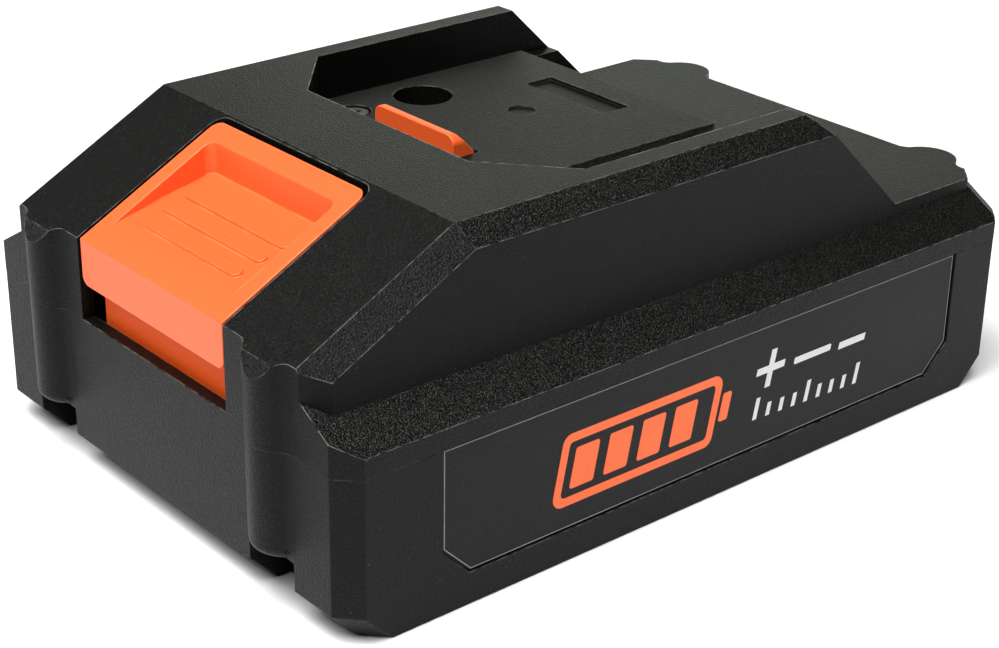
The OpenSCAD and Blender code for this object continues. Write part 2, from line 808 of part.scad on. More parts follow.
// The button: lip, sloping top, dish, ribs, skirt and holding flanges
module button() {
    lip_y = button_y0 + lip_t;
    flange_y0 = skirt_y + skirt_t;
    flange_y1 = button_y1 - button_r;
    flange_top = -slope_wall - stop_gap;
    x = button_w / 2;
    difference() {
        intersection() {
            along_x(-x, x) polygon([
                [button_y0, lip_z], [button_y0, slope_z(button_y0)], [button_y1, slope_z(button_y1)],
                [button_y1, under_z(button_y1)], [lip_y, under_z(lip_y)], [lip_y, lip_z]
            ]);
            linear_extrude(far) button_plan();
            along_y(-body_l, body_l) {
                translate([-x, lip_z + lip_r]) square([2 * x, far]);
                translate([lip_r - x, lip_z]) square([2 * (x - lip_r), far]);
                for (s = [-1, 1]) translate([s * (x - lip_r), lip_z + lip_r]) circle(lip_r);
            }
        }
        finger_dish();
    }
    for (i = [-1:1]) translate([0, rib_y + i * rib_pitch, floor_z(rib_y + i * rib_pitch)])
        rotate([atan(dish_fall), 0, 0]) grip_rib();
    block([-skirt_w / 2, skirt_y, lip_z - skirt_l], [skirt_w / 2, skirt_y + skirt_t, under_z(skirt_y) + eps]);
    both_sides() along_x((button_w + dish_w) / 4, x + flange_w) polygon([
        [flange_y0, slope_z(flange_y0) + flange_top], [flange_y1, slope_z(flange_y1) + flange_top],
        [flange_y1, slope_z(flange_y1) + flange_top - flange_t],
        [flange_y0, slope_z(flange_y0) + flange_top - flange_t]
    ]);
}

// The hook: an upright front face and a ramp behind, with round upper corners
module hook() {
    top = plate_top + hook_h;
    x = hook_w / 2;
    intersection() {
        along_x(-x, x) polygon([
            [hook_y0, arm_z0], [hook_y1, arm_z0], [hook_y1, plate_top],
            [hook_y0 + hook_flat, top], [hook_y0, top]
        ]);
        along_y(-body_l, body_l) {
            translate([-x, 0]) square([2 * x, top - hook_r]);
            translate([hook_r - x, 0]) square([2 * (x - hook_r), top]);
            for (s = [-1, 1]) translate([s * (x - hook_r), top - hook_r]) circle(hook_r);
        }
    }
}

// The moving latch: button, arm, hook and spring pads in one moulding
module release_latch() {
    color("#f56a2a") {
        button();
        hook();
        block([-arm_w / 2, button_y1 - dish_back, arm_z0], [arm_w / 2, hook_y1, arm_z1]);
        block([-arm_w / 2, button_y1 - dish_back, arm_z0], [arm_w / 2, button_y1, under_z(button_y1) + lap]);
        both_sides() translate([spring_x, spring_y, 0]) {
            translate([0, 0, spring_z]) cylinder(d = spring_d + lap, h = seat_h + lap / 2);
            translate([0, 0, spring_z - peg_h]) cylinder(r = peg_r, h = peg_h);
        }
    }
}

// A coil spring as one tube along a helix
module coil_spring(x, z0, z1) {
    sides = 6;
    per_turn = 10;
    rings = spring_turns * per_turn;
    r = (spring_d - wire_d) / 2;
    base = z0 + wire_d / 2;
    rise = z1 - z0 - wire_d;
    points = [
        for (i = [0:rings], k = [0:sides - 1])
            let (a = i * 360 / per_turn, t = k * 360 / sides, q = r + wire_d / 2 * cos(t))
                [q * cos(a), q * sin(a), base + rise * i / rings + wire_d / 2 * sin(t)]
    ];
    faces = concat(
        [[for (k = [0:sides - 1]) k]],
        [[for (k = [sides - 1:-1:0]) rings * sides + k]],
        [for (i = [0:rings - 1], k = [0:sides - 1])
            let (a = i * sides, n = (k + 1) % sides) [a + k, a + sides + k, a + n]],
        [for (i = [0:rings - 1], k = [0:sides - 1])
            let (a = i * sides, n = (k + 1) % sides) [a + sides + k, a + sides + n, a + n]]
    );
    translate([x, spring_y, 0]) polyhedron(points, faces);
}

module latch_spring(side) {
    color("#9fa3a8") coil_spring(side * spring_x, carrier_top + spring_gap, spring_z - spring_gap);
}

// The label film in its recess
module side_label() {
    x = body_w / 2 - label_depth;
    color("#232427") along_x(x, x + label_t) label_outline(label_gap, seam_z - label_gap);
}

function cell_y(i) = (i - (cell_count + 1) / 2) * cell_pitch;

// One cell along X: a can with a crimp groove and a raised positive contact
module cell(i) {
    r = cell_d / 2;
    cap_r = 4;
    cap_h = 0.8;
    groove = 3;
    l = cell_l - cap_h;
    color("#3a7fb5") translate([0, cell_y(i), cell_z]) mirror([i % 2 == 0 ? 1 : 0, 0, 0]) rotate([0, 90, 0])
        translate([0, 0, -cell_l / 2]) rotate_extrude() polygon([
            [0, 0], [r, 0], [r, l - groove - 1], [r - 0.5, l - groove - 0.5], [r - 0.5, l - groove],
            [r, l - groove + 0.5], [r, l], [cap_r, l], [cap_r, l + cap_h], [0, l + cap_h]
        ]);
}

// One half of the carrier: a block with round ends, bored for the cells
module cell_carrier(side) {
    y = carrier_half - carrier_r;
    color("#2c3f36") mirror([side < 0 ? 1 : 0, 0, 0]) difference() {
        union() {
            translate([carrier_split, 0, 0]) {
                block([0, -y, wall], [strip_x - carrier_split, y, carrier_top]);
                for (s = [-1, 1]) translate([0, s * y, cell_z]) rotate([0, 90, 0])
                    cylinder(r = carrier_r, h = strip_x - carrier_split);
            }
            translate([spring_x, spring_y, cell_z]) cylinder(r = peg_r, h = carrier_top - cell_z + peg_h);
            for (s = [-1, 1]) translate([board_screw_x, s * board_screw_y, carrier_top - 1])
                cylinder(d = small_head_d + 1, h = board_stand + 1);
        }
        for (i = [1:cell_count]) translate([-eps, cell_y(i), cell_z]) rotate([0, 90, 0])
            cylinder(r = cell_d / 2 + cell_gap, h = cell_l);
        for (s = [-1, 1]) translate([board_screw_x, s * board_screw_y, board_z - small_l - 0.3])
            cylinder(d = small_d + 2 * screw_gap, h = small_l + 1);
        if (side > 0) translate([spring_x, 0, cell_z]) cylinder(d = thermistor_d + 0.6, h = far);
    }
}

// A welded strip over cells a to b, with a tab that folds onto the board
module strip(side, a, b, tab_y) {
    land = 2;
    tab_z = board_z + strip_t;
    color("#c9ccd0") mirror([side < 0 ? 1 : 0, 0, 0]) {
        along_x(strip_x, strip_x + strip_t) {
            for (i = [a, b]) translate([cell_y(i), cell_z]) circle(d = strip_w);
            translate([cell_y(a), cell_z - strip_w / 2]) square([cell_y(b) - cell_y(a) + eps, strip_w]);
            translate([tab_y - tab_w / 2, cell_z]) square([tab_w, tab_z - cell_z]);
        }
        block([board_w / 2 - land, tab_y - tab_w / 2, board_z], [strip_x + eps, tab_y + tab_w / 2, tab_z]);
    }
}

// Strip k of the series: even strips are on the left, odd ones on the right
module series_strip(k) {
    a = max(k, 1);
    b = min(k + 1, cell_count);
    inward = k == 0 ? 4 : k == cell_count ? -0.5 : 0;
    strip(k % 2 == 0 ? -1 : 1, a, b, (cell_y(a) + cell_y(b)) / 2 + inward);
}

module insulator(side) {
    x = strip_x + strip_t;
    y = carrier_half - 2;
    color("#e6dfc8") mirror([side < 0 ? 1 : 0, 0, 0])
        block([x, -y, wall + 2], [x + insulator_t, y, seam_z - 1]);
}

module foam_pad(side) {
    y = carrier_half - 4;
    color("#4a4d52") mirror([side < 0 ? 1 : 0, 0, 0])
        block([strip_x + strip_t + insulator_t, -y, wall + 3], [inner_w / 2, y, seam_z - 2]);
}

// The protection board, screwed to the carrier
module protection_board() {
    color("#1f6b3a") difference() {
        block([-board_w / 2, -board_front, board_z0], [board_w / 2, board_rear, board_z]);
        quarters() translate([board_screw_x, board_screw_y, 0])
            cylinder(d = small_d + 2 * screw_gap, h = far);
    }
}

module board_screws() {
    color("#b9bcc0") quarters() translate([board_screw_x, board_screw_y, board_z])
        screw(small_d, small_l, small_head_d, small_head_h);
}

// Two power transistors with their tabs and legs
module power_transistors() {
    tab_in = transistor_w / 10;
    tab_l = transistor_l / 4;
    leg_x = transistor_w / 3;
    leg_l = transistor_l / 3;
    color("#26282b") both_sides() translate([transistor_x, -transistor_y, board_z]) {
        translate([-transistor_w / 2, -transistor_l / 2, 0]) cube([transistor_w, transistor_l, transistor_h]);
        translate([tab_in - transistor_w / 2, transistor_l / 2 - eps, 0])
            cube([transistor_w - 2 * tab_in, tab_l, leg_t]);
        for (s = [-1, 1]) translate([s * leg_x - leg_t / 2, -transistor_l / 2 - leg_l, 0])
            cube([leg_t, leg_l + eps, leg_t]);
    }
}

// The controller with its two rows of legs
module control_chip() {
    chip_w = pin_count * pin_pitch;
    pin_w = pin_pitch / 3;
    pin_l = chip_l / 3;
    color("#26282b") translate([0, -chip_y, board_z]) {
        translate([-chip_w / 2, -chip_l / 2, 0]) cube([chip_w, chip_l, chip_h]);
        for (i = [0:pin_count - 1], s = [-1, 1])
            translate([(i - (pin_count - 1) / 2) * pin_pitch, s * (chip_l + pin_l) / 2, leg_t / 2])
                cube([pin_w, pin_l + eps, leg_t], center = true);
    }
}

module shunt_resistor() {
    color("#3b3b3e") translate([-shunt_w / 2, shunt_y - shunt_l / 2, board_z])
        cube([shunt_w, shunt_l, shunt_h]);
}

// The temperature sensor, pressed on the middle cell through the carrier
module thermistor() {
    color("#20242c") translate([spring_x, 0, cell_z + cell_d / 2])
        cylinder(d = thermistor_d, h = board_z0 - 0.2 - cell_z - cell_d / 2);
}

function contact_x(i) = (i - (contact_count - 1) / 2) * contact_pitch;

// The insulating block around the contacts, with a chamber for each
module terminal_block() {
    leg_half = leg_w / 2 + fork_gap;
    color("#303236") difference() {
        block([-block_w / 2, block_y0, board_z], [block_w / 2, block_y1, plate_z - block_gap]);
        for (i = [0:contact_count - 1]) translate([contact_x(i), 0, 0]) {
            block([-chamber_w / 2, chamber_y, contact_z - fork_gap],
                  [chamber_w / 2, core_end, contact_z + contact_h + fork_gap]);
            block([-leg_half, chamber_y, 0], [leg_half, chamber_y + leg_w, contact_z]);
        }
    }
}

// A fork contact: two spring leaves that close on the tool's blade
module contact(i) {
    y0 = chamber_y + fork_gap / 2;
    y1 = block_y1 - fork_gap;
    back = chamber_w / 2 - fork_gap;
    bend = 3;
    flare = 2;
    pinch = contact_slot / 4;
    translate([contact_x(i), 0, 0]) {
        translate([0, 0, contact_z]) linear_extrude(contact_h) {
            translate([-back, y0]) square([2 * back, contact_t]);
            for (m = [0, 1]) mirror([m, 0]) polygon([
                [back - contact_t, y0], [back, y0], [back, y0 + bend], [pinch + contact_t, y1 - flare],
                [pinch + 2 * contact_t, y1], [pinch + contact_t, y1], [pinch, y1 - flare],
                [back - contact_t, y0 + bend]
            ]);
        }
        block([-leg_w / 2, y0, board_z], [leg_w / 2, y0 + contact_t, contact_z + eps]);
    }
}

module positive_terminal() {
    color("#c58a3d") contact(0);
}

module negative_terminal() {
    color("#c58a3d") contact(contact_count - 1);
}

module signal_terminals() {
    color("#c58a3d") for (i = [1:contact_count - 2]) contact(i);
}

lower_housing();
upper_housing();
rail_plate();
rail_plate_screws();
housing_screws();
release_latch();
latch_spring(-1);  // latch_spring_left
latch_spring(1);  // latch_spring_right
side_label();
for (i = [1:cell_count])
    cell(i);
for (k = [0:cell_count])
    series_strip(k);
cell_carrier(-1);  // cell_carrier_left
cell_carrier(1);  // cell_carrier_right
insulator(-1);  // insulator_left
insulator(1);  // insulator_right
foam_pad(-1);  // foam_pad_left
foam_pad(1);  // foam_pad_right
protection_board();
board_screws();
power_transistors();
control_chip();
shunt_resistor();
thermistor();
terminal_block();
positive_terminal();
negative_terminal();
signal_terminals();
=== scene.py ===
"""Dresses a slide-on battery pack for a cordless tool.

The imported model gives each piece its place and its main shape. The classes here round its edges,
give it its finish, add the fine forms that the model leaves plain, and set the studio around it.
"""

import logging
import math
from collections.abc import Callable, Mapping, Sequence
from dataclasses import dataclass, field
from enum import Enum
from typing import Any, ClassVar, Union

import bmesh
import bpy
from mathutils import Matrix, Vector


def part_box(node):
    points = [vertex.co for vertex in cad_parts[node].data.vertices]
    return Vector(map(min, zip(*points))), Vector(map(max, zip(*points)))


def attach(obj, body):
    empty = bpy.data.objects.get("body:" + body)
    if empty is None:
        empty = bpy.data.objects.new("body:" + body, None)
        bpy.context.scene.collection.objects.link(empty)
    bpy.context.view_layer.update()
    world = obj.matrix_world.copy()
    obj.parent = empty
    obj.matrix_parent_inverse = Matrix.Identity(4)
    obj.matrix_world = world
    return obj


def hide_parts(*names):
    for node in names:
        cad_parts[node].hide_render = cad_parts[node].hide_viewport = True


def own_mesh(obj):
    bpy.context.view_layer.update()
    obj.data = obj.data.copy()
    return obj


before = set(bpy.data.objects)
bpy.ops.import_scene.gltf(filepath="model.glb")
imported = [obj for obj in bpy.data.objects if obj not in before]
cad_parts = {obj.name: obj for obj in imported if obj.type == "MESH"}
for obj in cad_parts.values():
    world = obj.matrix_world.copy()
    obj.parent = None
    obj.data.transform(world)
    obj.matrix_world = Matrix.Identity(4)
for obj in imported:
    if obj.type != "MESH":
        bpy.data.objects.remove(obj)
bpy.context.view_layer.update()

MM = 0.001
LOG = logging.getLogger("battery_pack")

Operand = Union["Value", float, int]
Colour = tuple[float, float, float]
Point = tuple[float, float]
Place = tuple[float, float, float]
Span = tuple[float, float]


class Body(Enum):
    """The bodies that pieces ride on."""

    PACK = "pack"
    LATCH = "latch"


class Side(Enum):
    """Left and right of the pack, as the sign of X."""

    LEFT = -1
    RIGHT = 1

    @property
    def word(self) -> str:
        """The side's name as it stands in piece names."""
        return self.name.lower()


class Value:
    """One output of a shader node. Arithmetic on it adds Math nodes."""

    def __init__(self, graph: "Graph", socket: bpy.types.NodeSocket) -> None:
        """Keeps the socket and the graph that it belongs to."""
        self.graph = graph
        self.socket = socket

    def __add__(self, other: Operand) -> "Value":
        """Adds a value or a number."""
        return self.graph.math("ADD", self, other)

    def __radd__(self, other: Operand) -> "Value":
        """Adds to a number."""
        return self.graph.math("ADD", other, self)

    def __sub__(self, other: Operand) -> "Value":
        """Takes a value or a number away."""
        return self.graph.math("SUBTRACT", self, other)

    def __rsub__(self, other: Operand) -> "Value":
        """Takes this value from a number."""
        return self.graph.math("SUBTRACT", other, self)

    def __mul__(self, other: Operand) -> "Value":
        """Multiplies by a value or a number."""
        return self.graph.math("MULTIPLY", self, other)

    def __rmul__(self, other: Operand) -> "Value":
        """Multiplies a number."""
        return self.graph.math("MULTIPLY", other, self)

    def __abs__(self) -> "Value":
        """Drops the sign."""
        return self.graph.math("ABSOLUTE", self)

    def rise(self, low: float, high: float) -> "Value":
        """Goes smoothly from 0 at low to 1 at high."""
        span = {"Value": self, "From Min": low, "From Max": high}
        return self.graph.node("ShaderNodeMapRange", {"interpolation_type": "SMOOTHSTEP"}, span)

    def wave(self, period: float) -> "Value":
        """A sine of this value with the given period in metres."""
        return self.graph.math("SINE", self * (2 * math.pi / period))


class Graph:
    """The nodes of one material or of the world, around the shader that they feed."""

    SOFT_RAYS: ClassVar[int] = 6
    EDGE_RAYS: ClassVar[int] = 12
    EDGE_SHUT: ClassVar[float] = 0.12

    def __init__(self, tree: bpy.types.NodeTree, shader: bpy.types.Node) -> None:
        """Keeps the tree and its shader.

        Args:
            tree: The tree that new nodes go into.
            shader: The node whose inputs the finish sets.
        """
        self.tree = tree
        self.shader = shader
        self.kept: dict[str, Value] = {}

    def node(
        self,
        kind: str,
        settings: Mapping[str, Any] | None = None,
        sockets: Mapping[str | int, Any] | None = None,
        output: str | int = 0,
    ) -> Value:
        """Adds a node.

        Args:
            kind: The node's type.
            settings: Its properties, set first.
            sockets: Numbers, colours or values for its inputs.
            output: The output that is wanted.

        Returns:
            That output as a value.
        """
        made = self.tree.nodes.new(kind)
        for name, setting in (settings or {}).items():
            setattr(made, name, setting)
        for name, value in (sockets or {}).items():
            self.feed(made.inputs[name], value)
        return Value(self, made.outputs[output])

    def feed(self, socket: bpy.types.NodeSocket, value: Any) -> None:
        """Links a value to an input, or sets a number, vector or colour on it.

        Args:
            socket: The input.
            value: A Value, a number or a tuple.
        """
        if isinstance(value, Value):
            self.tree.links.new(value.socket, socket)
        elif socket.type == "RGBA" and len(value) == 3:
            socket.default_value = (*value, 1.0)
        else:
            socket.default_value = value

    def set(self, **sockets: Any) -> None:
        """Sets inputs of the shader; an underscore in a name stands for a space."""
        for name, value in sockets.items():
            self.feed(self.shader.inputs[name.replace("_", " ")], value)

    def math(self, operation: str, *terms: Operand) -> Value:
        """Adds a Math node on values and numbers."""
        return self.node("ShaderNodeMath", {"operation": operation}, dict(enumerate(terms)))

    def mix(self, share: Operand, first: Any, second: Any) -> Value:
        """Mixes two colours, the second by its share."""
        sockets = {0: share, 6: first, 7: second}
        return self.node("ShaderNodeMix", {"data_type": "RGBA"}, sockets, output=2)

    def once(self, key: str, make: Callable[[], Value]) -> Value:
        """Gives a value that is made once only.

        Args:
            key: The name that it is kept under.
            make: What makes it at the first call.

        Returns:
            The value.
        """
        if key not in self.kept:
            self.kept[key] = make()
        return self.kept[key]

    def spot(self) -> Value:
        """The place on the piece, in metres."""
        return self.once("spot", lambda: self.node("ShaderNodeTexCoord", output="Object"))

    def axis(self, letter: str) -> Value:
        """One coordinate of the place on the piece."""
        return self.node("ShaderNodeSeparateXYZ", None, {0: self.spot()}, output=letter)

    def facing(self, letter: str) -> Value:
        """One coordinate of the direction that the surface faces."""
        normal = self.once("normal", lambda: self.node("ShaderNodeTexCoord", output="Normal"))
        return self.node("ShaderNodeSeparateXYZ", None, {0: normal}, output=letter)

    def stretched(self, scale: Place) -> Value:
        """The place on the piece, scaled along each axis."""
        settings = {"operation": "MULTIPLY"}
        return self.node("ShaderNodeVectorMath", settings, {0: self.spot(), 1: scale})

    def noise(self, size: float, detail: float = 2.0, spot: Value | None = None) -> Value:
        """Cloudy noise.

        Args:
            size: The size of its blots in millimetres.
            detail: How many finer layers it has.
            spot: Where it is read, if not at the place on the piece.

        Returns:
            A value about 0.5.
        """
        sockets = {"Vector": spot or self.spot(), "Scale": 1 / (size * MM), "Detail": detail}
        return self.node("ShaderNodeTexNoise", None, sockets)

    def cells(self, size: float) -> Value:
        """Distance to the nearest of many scattered points, size millimetres apart."""
        sockets = {"Vector": self.spot(), "Scale": 1 / (size * MM)}
        return self.node("ShaderNodeTexVoronoi", None, sockets)

    def bump(self, height: Value, strength: Operand, depth: float, soft: float = 0.0) -> Value:
        """A normal that follows a height.

        Args:
            height: The height, from 0 to 1.
            strength: How much of it shows.
            depth: What a height of 1 stands for, in millimetres.
            soft: The radius in millimetres by which edges look rounded, or 0 for none.

        Returns:
            The normal.
        """
        sockets = {"Height": height, "Strength": strength, "Distance": depth * MM}
        if soft:
            settings = {"samples": self.SOFT_RAYS}
            sockets["Normal"] = self.node("ShaderNodeBevel", settings, {"Radius": soft * MM})
        return self.node("ShaderNodeBump", None, sockets)

    def edge(self, radius: float, inner: bool = False) -> Value:
        """How near an edge is.

        Args:
            radius: How far from an edge it begins to show, in millimetres.
            inner: Whether inner corners are looked for, and not outer edges.

        Returns:
            0 on flat ground, rising to 1 at an edge.
        """
        settings = {"inside": not inner, "only_local": True, "samples": self.EDGE_RAYS}
        reach = {"Distance": radius * MM}
        free = self.node("ShaderNodeAmbientOcclusion", settings, reach, output="AO")
        return (1 - free).rise(0.0, self.EDGE_SHUT)


@dataclass(frozen=True)
class Finish:
    """The look of one kind of surface."""

    name: str

    def paint(self, graph: Graph) -> None:
        """Builds the nodes of the finish around the graph's shader; each finish has its own."""
        raise NotImplementedError

    def material(self) -> bpy.types.Material:
        """Gives the finish as a material, made at the first call.

        Returns:
            The material.
        """
        found = bpy.data.materials.get(f"finish_{self.name}")
        if found is None:
            found = bpy.data.materials.new(f"finish_{self.name}")
            found.use_nodes = True
            self.paint(Graph(found.node_tree, found.node_tree.nodes["Principled BSDF"]))
        return found


@dataclass(frozen=True)
class MouldedPlastic(Finish):
    """Moulded plastic with a pebbled grain, deepest on slanting faces, rubbed edges with painted
    edge highlights, painted glints and painted shade below a foot height.

    Lengths are in millimetres. The spans in capitals say where a mask begins and where it is full.
    """

    colour: Colour
    shade: Colour
    # Pale colour for wear and dust, and for the painted glints and painted edge highlights.
    wear_dust_and_sheen: Colour
    grain: float = 0.3
    depth: float = 0.035
    on_slants: float = 1.0
    on_flats: float = 0.6
    on_walls: float = 0.25
    rough: Span = (0.40, 0.60)
    # Strength of the pale edges, partly wear and partly painted highlight.
    rub_and_sheen: float = 0.5
    # Strength of the painted glints: pale specks that stand in for light glinting off the grain.
    painted_glint: float = 0.45
    dust: float = 0.4
    shine: float = 0.15
    coat: float = 0.0
    soft: float = 0.0
    # Strength of the painted highlight in inner corners.
    crease: float = 0.0
    # A height in millimetres below which painted shade darkens the body, or 0 for none.
    foot: float = 0.0
    painted_shade_colour: Colour = (0.0, 0.0, 0.0)

    FLATS: ClassVar[Span] = (0.93, 0.985)
    SLANTS: ClassVar[Span] = (0.2, 0.4)
    ENDS: ClassVar[Span] = (0.1, 0.35)
    PEBBLES: ClassVar[Span] = (0.1, 0.75)
    PITS: ClassVar[Span] = (0.3, 0.7)
    TIPS: ClassVar[Span] = (0.35, 0.85)
    GLINTS: ClassVar[Span] = (0.55, 0.72)
    # The painted glints fade from full at the first Y to half at the second, in millimetres.
    PAINTED_SHEEN_Y: ClassVar[Span] = (-20.0, 50.0)
    DRAG: ClassVar[Place] = (1.0, 1.0, 0.03)
    CLOUD: ClassVar[float] = 11.0
    DUST_GAP: ClassVar[float] = 2.2
    EDGE: ClassVar[float] = 0.16
    # Reach of the painted highlight in inner corners, in millimetres.
    CREASE: ClassVar[float] = 0.3
    PAINTED_SHADE_FADE: ClassVar[float] = 0.6

    def pits(self, graph: Graph) -> Value:
        """The grain's height: pebbles with a finer tooth on them."""
        pebbles = 1 - graph.cells(self.grain).rise(*self.PEBBLES)
        return pebbles * 0.65 + graph.noise(self.grain * 0.5, 1.0).rise(*self.PITS) * 0.35

    def cloud(self, graph: Graph) -> Value:
        """Slow clouding, with the mould's faint drag marks up the walls."""
        drag = graph.noise(0.6, 2.0, graph.stretched(self.DRAG))
        return graph.noise(self.CLOUD, 3.0) * 0.7 + drag * 0.3

    def rubbed(self, graph: Graph, up: Value) -> Value:
        """Where the plastic is rubbed pale, and where edges and inner corners carry painted
        highlights.

        Args:
            graph: The nodes of the material.
            up: How far the surface faces up.

        Returns:
            Outer edges that face up, partly wear and partly painted edge highlight, and a painted
            highlight in inner corners if the finish has a crease.
        """
        patches = graph.noise(1.3, 4.0).rise(0.34, 0.60)
        # Outer edges that face up turn pale: partly wear, partly a painted edge highlight.
        rub_and_sheen = graph.edge(self.EDGE) * up.rise(0.1, 0.4) * patches * self.rub_and_sheen
        # Painted highlight: inner corners turn pale, standing in for light caught by the fillets.
        if self.crease:
            patches = graph.noise(4.0, 2.0).rise(0.45, 0.6)
            rub_and_sheen = rub_and_sheen + graph.edge(self.CREASE, inner=True) * patches * self.crease
        return rub_and_sheen

    def paint(self, graph: Graph) -> None:
        """Grain by the slope of the face, painted glints, clouding, dust, rubbed edges with painted
        edge highlights, and painted shade below the foot.

        Args:
            graph: The nodes of the material.
        """
        up = graph.facing("Z")
        flats = up.rise(*self.FLATS)
        slants = up.rise(*self.SLANTS) * (1 - flats)
        ends = abs(graph.facing("Y")).rise(*self.ENDS)
        level = (
            self.on_walls * (1 + ends * 0.6)
            + (self.on_slants - self.on_walls) * slants
            + (self.on_flats - self.on_walls) * flats
        )
        pits = self.pits(graph)
        tips = pits.rise(*self.TIPS)
        cloud = self.cloud(graph)
        # Painted glints: pale specks that stand in for light glinting off the grain, strongest on
        # slants that face sideways, weaker on faces along Y, fading towards the rear.
        front, rear = self.PAINTED_SHEEN_Y
        painted_sheen_front = 1 - graph.axis("Y").rise(front * MM, rear * MM) * 0.5
        painted_glint_share = (slants * painted_sheen_front * (1 - ends * 0.7) + 0.12) * self.painted_glint
        painted_glint = graph.noise(self.grain * 0.55, 1.0).rise(*self.GLINTS) * painted_glint_share
        dust = (0.05 - graph.cells(self.DUST_GAP)).rise(0.0, 0.02) * self.dust
        rub_and_sheen = self.rubbed(graph, up)
        tone = 0.35 + (tips - 0.35) * level + (cloud - 0.5) * 0.4
        body = graph.mix(tone, self.shade, self.colour)
        coat: Operand = self.coat
        # Painted shade: below the foot height the body darkens to the shade colour, standing in for
        # the shade under the button's lip, and the coat thins there.
        if self.foot:
            painted_shade_mask = (self.foot * MM - graph.axis("Z")).rise(0.0, self.PAINTED_SHADE_FADE * MM)
            body = graph.mix(painted_shade_mask, body, self.painted_shade_colour)
            coat = self.coat * (1 - painted_shade_mask)
        low, high = self.rough
        smooth = (high - low) * (tips * level * 0.6 + cloud * 0.4)
        # The base colour takes the pale edges (partly wear, partly painted highlight), the painted
        # glints and real dust.
        graph.set(
            Base_Color=graph.mix(rub_and_sheen + painted_glint + dust, body, self.wear_dust_and_sheen),
            Roughness=high - smooth - slants * 0.08 - rub_and_sheen * 0.1,
            Normal=graph.bump(pits, level, self.depth, self.soft),
            Specular_IOR_Level=self.shine,
            Coat_Weight=coat,
            Coat_Roughness=high,
        )


@dataclass(frozen=True)
class LabelFilm(Finish):
    """Printed film: smooth, with a fine pebble, hairline scuffs and pale cut edges."""

    colour: Colour
    scuffed: Colour
    rim: Colour
    rough: Span = (0.30, 0.46)

    def paint(self, graph: Graph) -> None:
        """Hairlines run along the pack, specks lie between them, and the cut edge is pale.

        Args:
            graph: The nodes of the material.
        """
        hair = graph.noise(0.22, 3.0, graph.stretched((1.0, 0.04, 1.0))).rise(0.62, 0.78)
        speck = graph.noise(0.13, 0.0).rise(0.58, 0.74)
        haze = graph.noise(7.0, 3.0)
        pebble = graph.noise(0.14, 1.0)
        film = graph.mix(hair * 0.22 + speck * 0.25, self.colour, self.scuffed)
        low, high = self.rough
        graph.set(
            Base_Color=graph.mix(graph.edge(0.14) * (0.5 + haze * 0.8), film, self.rim),
            Roughness=low + (high - low) * haze + hair * 0.12,
            Normal=graph.bump(pebble * 0.8 + hair * 0.2, 0.5, 0.008),
            Specular_IOR_Level=0.15,
        )


@dataclass(frozen=True)
class PrintInk(Finish):
    """A screen-printed ink, slightly uneven and rubbed thin in places."""

    colour: Colour
    thin: Colour
    rough: float = 0.42

    def paint(self, graph: Graph) -> None:
        """Ink with pin holes and soft mottling.

        Args:
            graph: The nodes of the material.
        """
        mottle = graph.noise(1.6, 3.0)
        holes = graph.noise(0.1, 2.0).rise(0.68, 0.8) * 0.35
        graph.set(
            Base_Color=graph.mix(holes + mottle.rise(0.55, 0.85) * 0.12, self.colour, self.thin),
            Roughness=self.rough + mottle * 0.14 - 0.07,
            Normal=graph.bump(graph.noise(0.12, 2.0), 0.2, 0.006),
        )


@dataclass(frozen=True)
class Metal(Finish):
    """Plated or drawn metal with fine lines along one axis."""

    colour: Colour
    stain: Colour
    lines: Place = (1.0, 0.08, 1.0)
    rough: Span = (0.22, 0.42)
    shows: float = 0.3

    def paint(self, graph: Graph) -> None:
        """Drawn lines, dull blots and brighter rubbed edges.

        Args:
            graph: The nodes of the material.
        """
        drawn = graph.noise(0.16, 2.0, graph.stretched(self.lines))
        blot = graph.noise(2.4, 4.0)
        low, high = self.rough
        dull = blot.rise(0.5, 0.8) * 0.6
        graph.set(
            Base_Color=graph.mix(dull * (1 - graph.edge(0.06)), self.colour, self.stain),
            Metallic=1.0,
            Roughness=low + (high - low) * (drawn * 0.5 + blot * 0.5),
            Normal=graph.bump(drawn, self.shows, 0.012),
        )


@dataclass(frozen=True)
class CellSleeve(Finish):
    """A cell: a shrunk sleeve round the can, and bare plated steel on its ends."""

    colour: Colour
    crease: Colour
    steel: Colour

    def paint(self, graph: Graph) -> None:
        """The ends, which face along X, are steel; the sleeve has creases near them.

        Args:
            graph: The nodes of the material.
        """
        end = abs(graph.facing("X")).rise(0.8, 0.95)
        reach = abs(graph.axis("X")).rise(28 * MM, 32 * MM)
        ripple = graph.noise(1.1, 2.0, graph.stretched((0.35, 1.0, 1.0)))
        sleeve = graph.mix(ripple.rise(0.5, 0.75) * 0.35, self.colour, self.crease)
        graph.set(
            Base_Color=graph.mix(end, sleeve, self.steel),
            Metallic=end,
            Roughness=0.3 + ripple * 0.12 + end * 0.08,
            Normal=graph.bump(ripple, reach * 0.5 + 0.05, 0.05),
        )


@dataclass(frozen=True)
class FibreSheet(Finish):
    """Insulating paper with a mat of fibres."""

    colour: Colour
    fibre: Colour

    def paint(self, graph: Graph) -> None:
        """Crossing fibres over soft clouding.

        Args:
            graph: The nodes of the material.
        """
        along = graph.noise(0.3, 3.0, graph.stretched((1.0, 0.12, 1.0)))
        across = graph.noise(0.3, 3.0, graph.stretched((1.0, 1.0, 0.12)))
        mat = (along * 0.5 + across * 0.5).rise(0.45, 0.65)
        blots = graph.noise(5.0).rise(0.4, 0.7)
        graph.set(
            Base_Color=graph.mix(mat * 0.6 + blots * 0.2, self.colour, self.fibre),
            Roughness=0.7 + mat * 0.15,
            Normal=graph.bump(mat, 0.4, 0.02),
        )


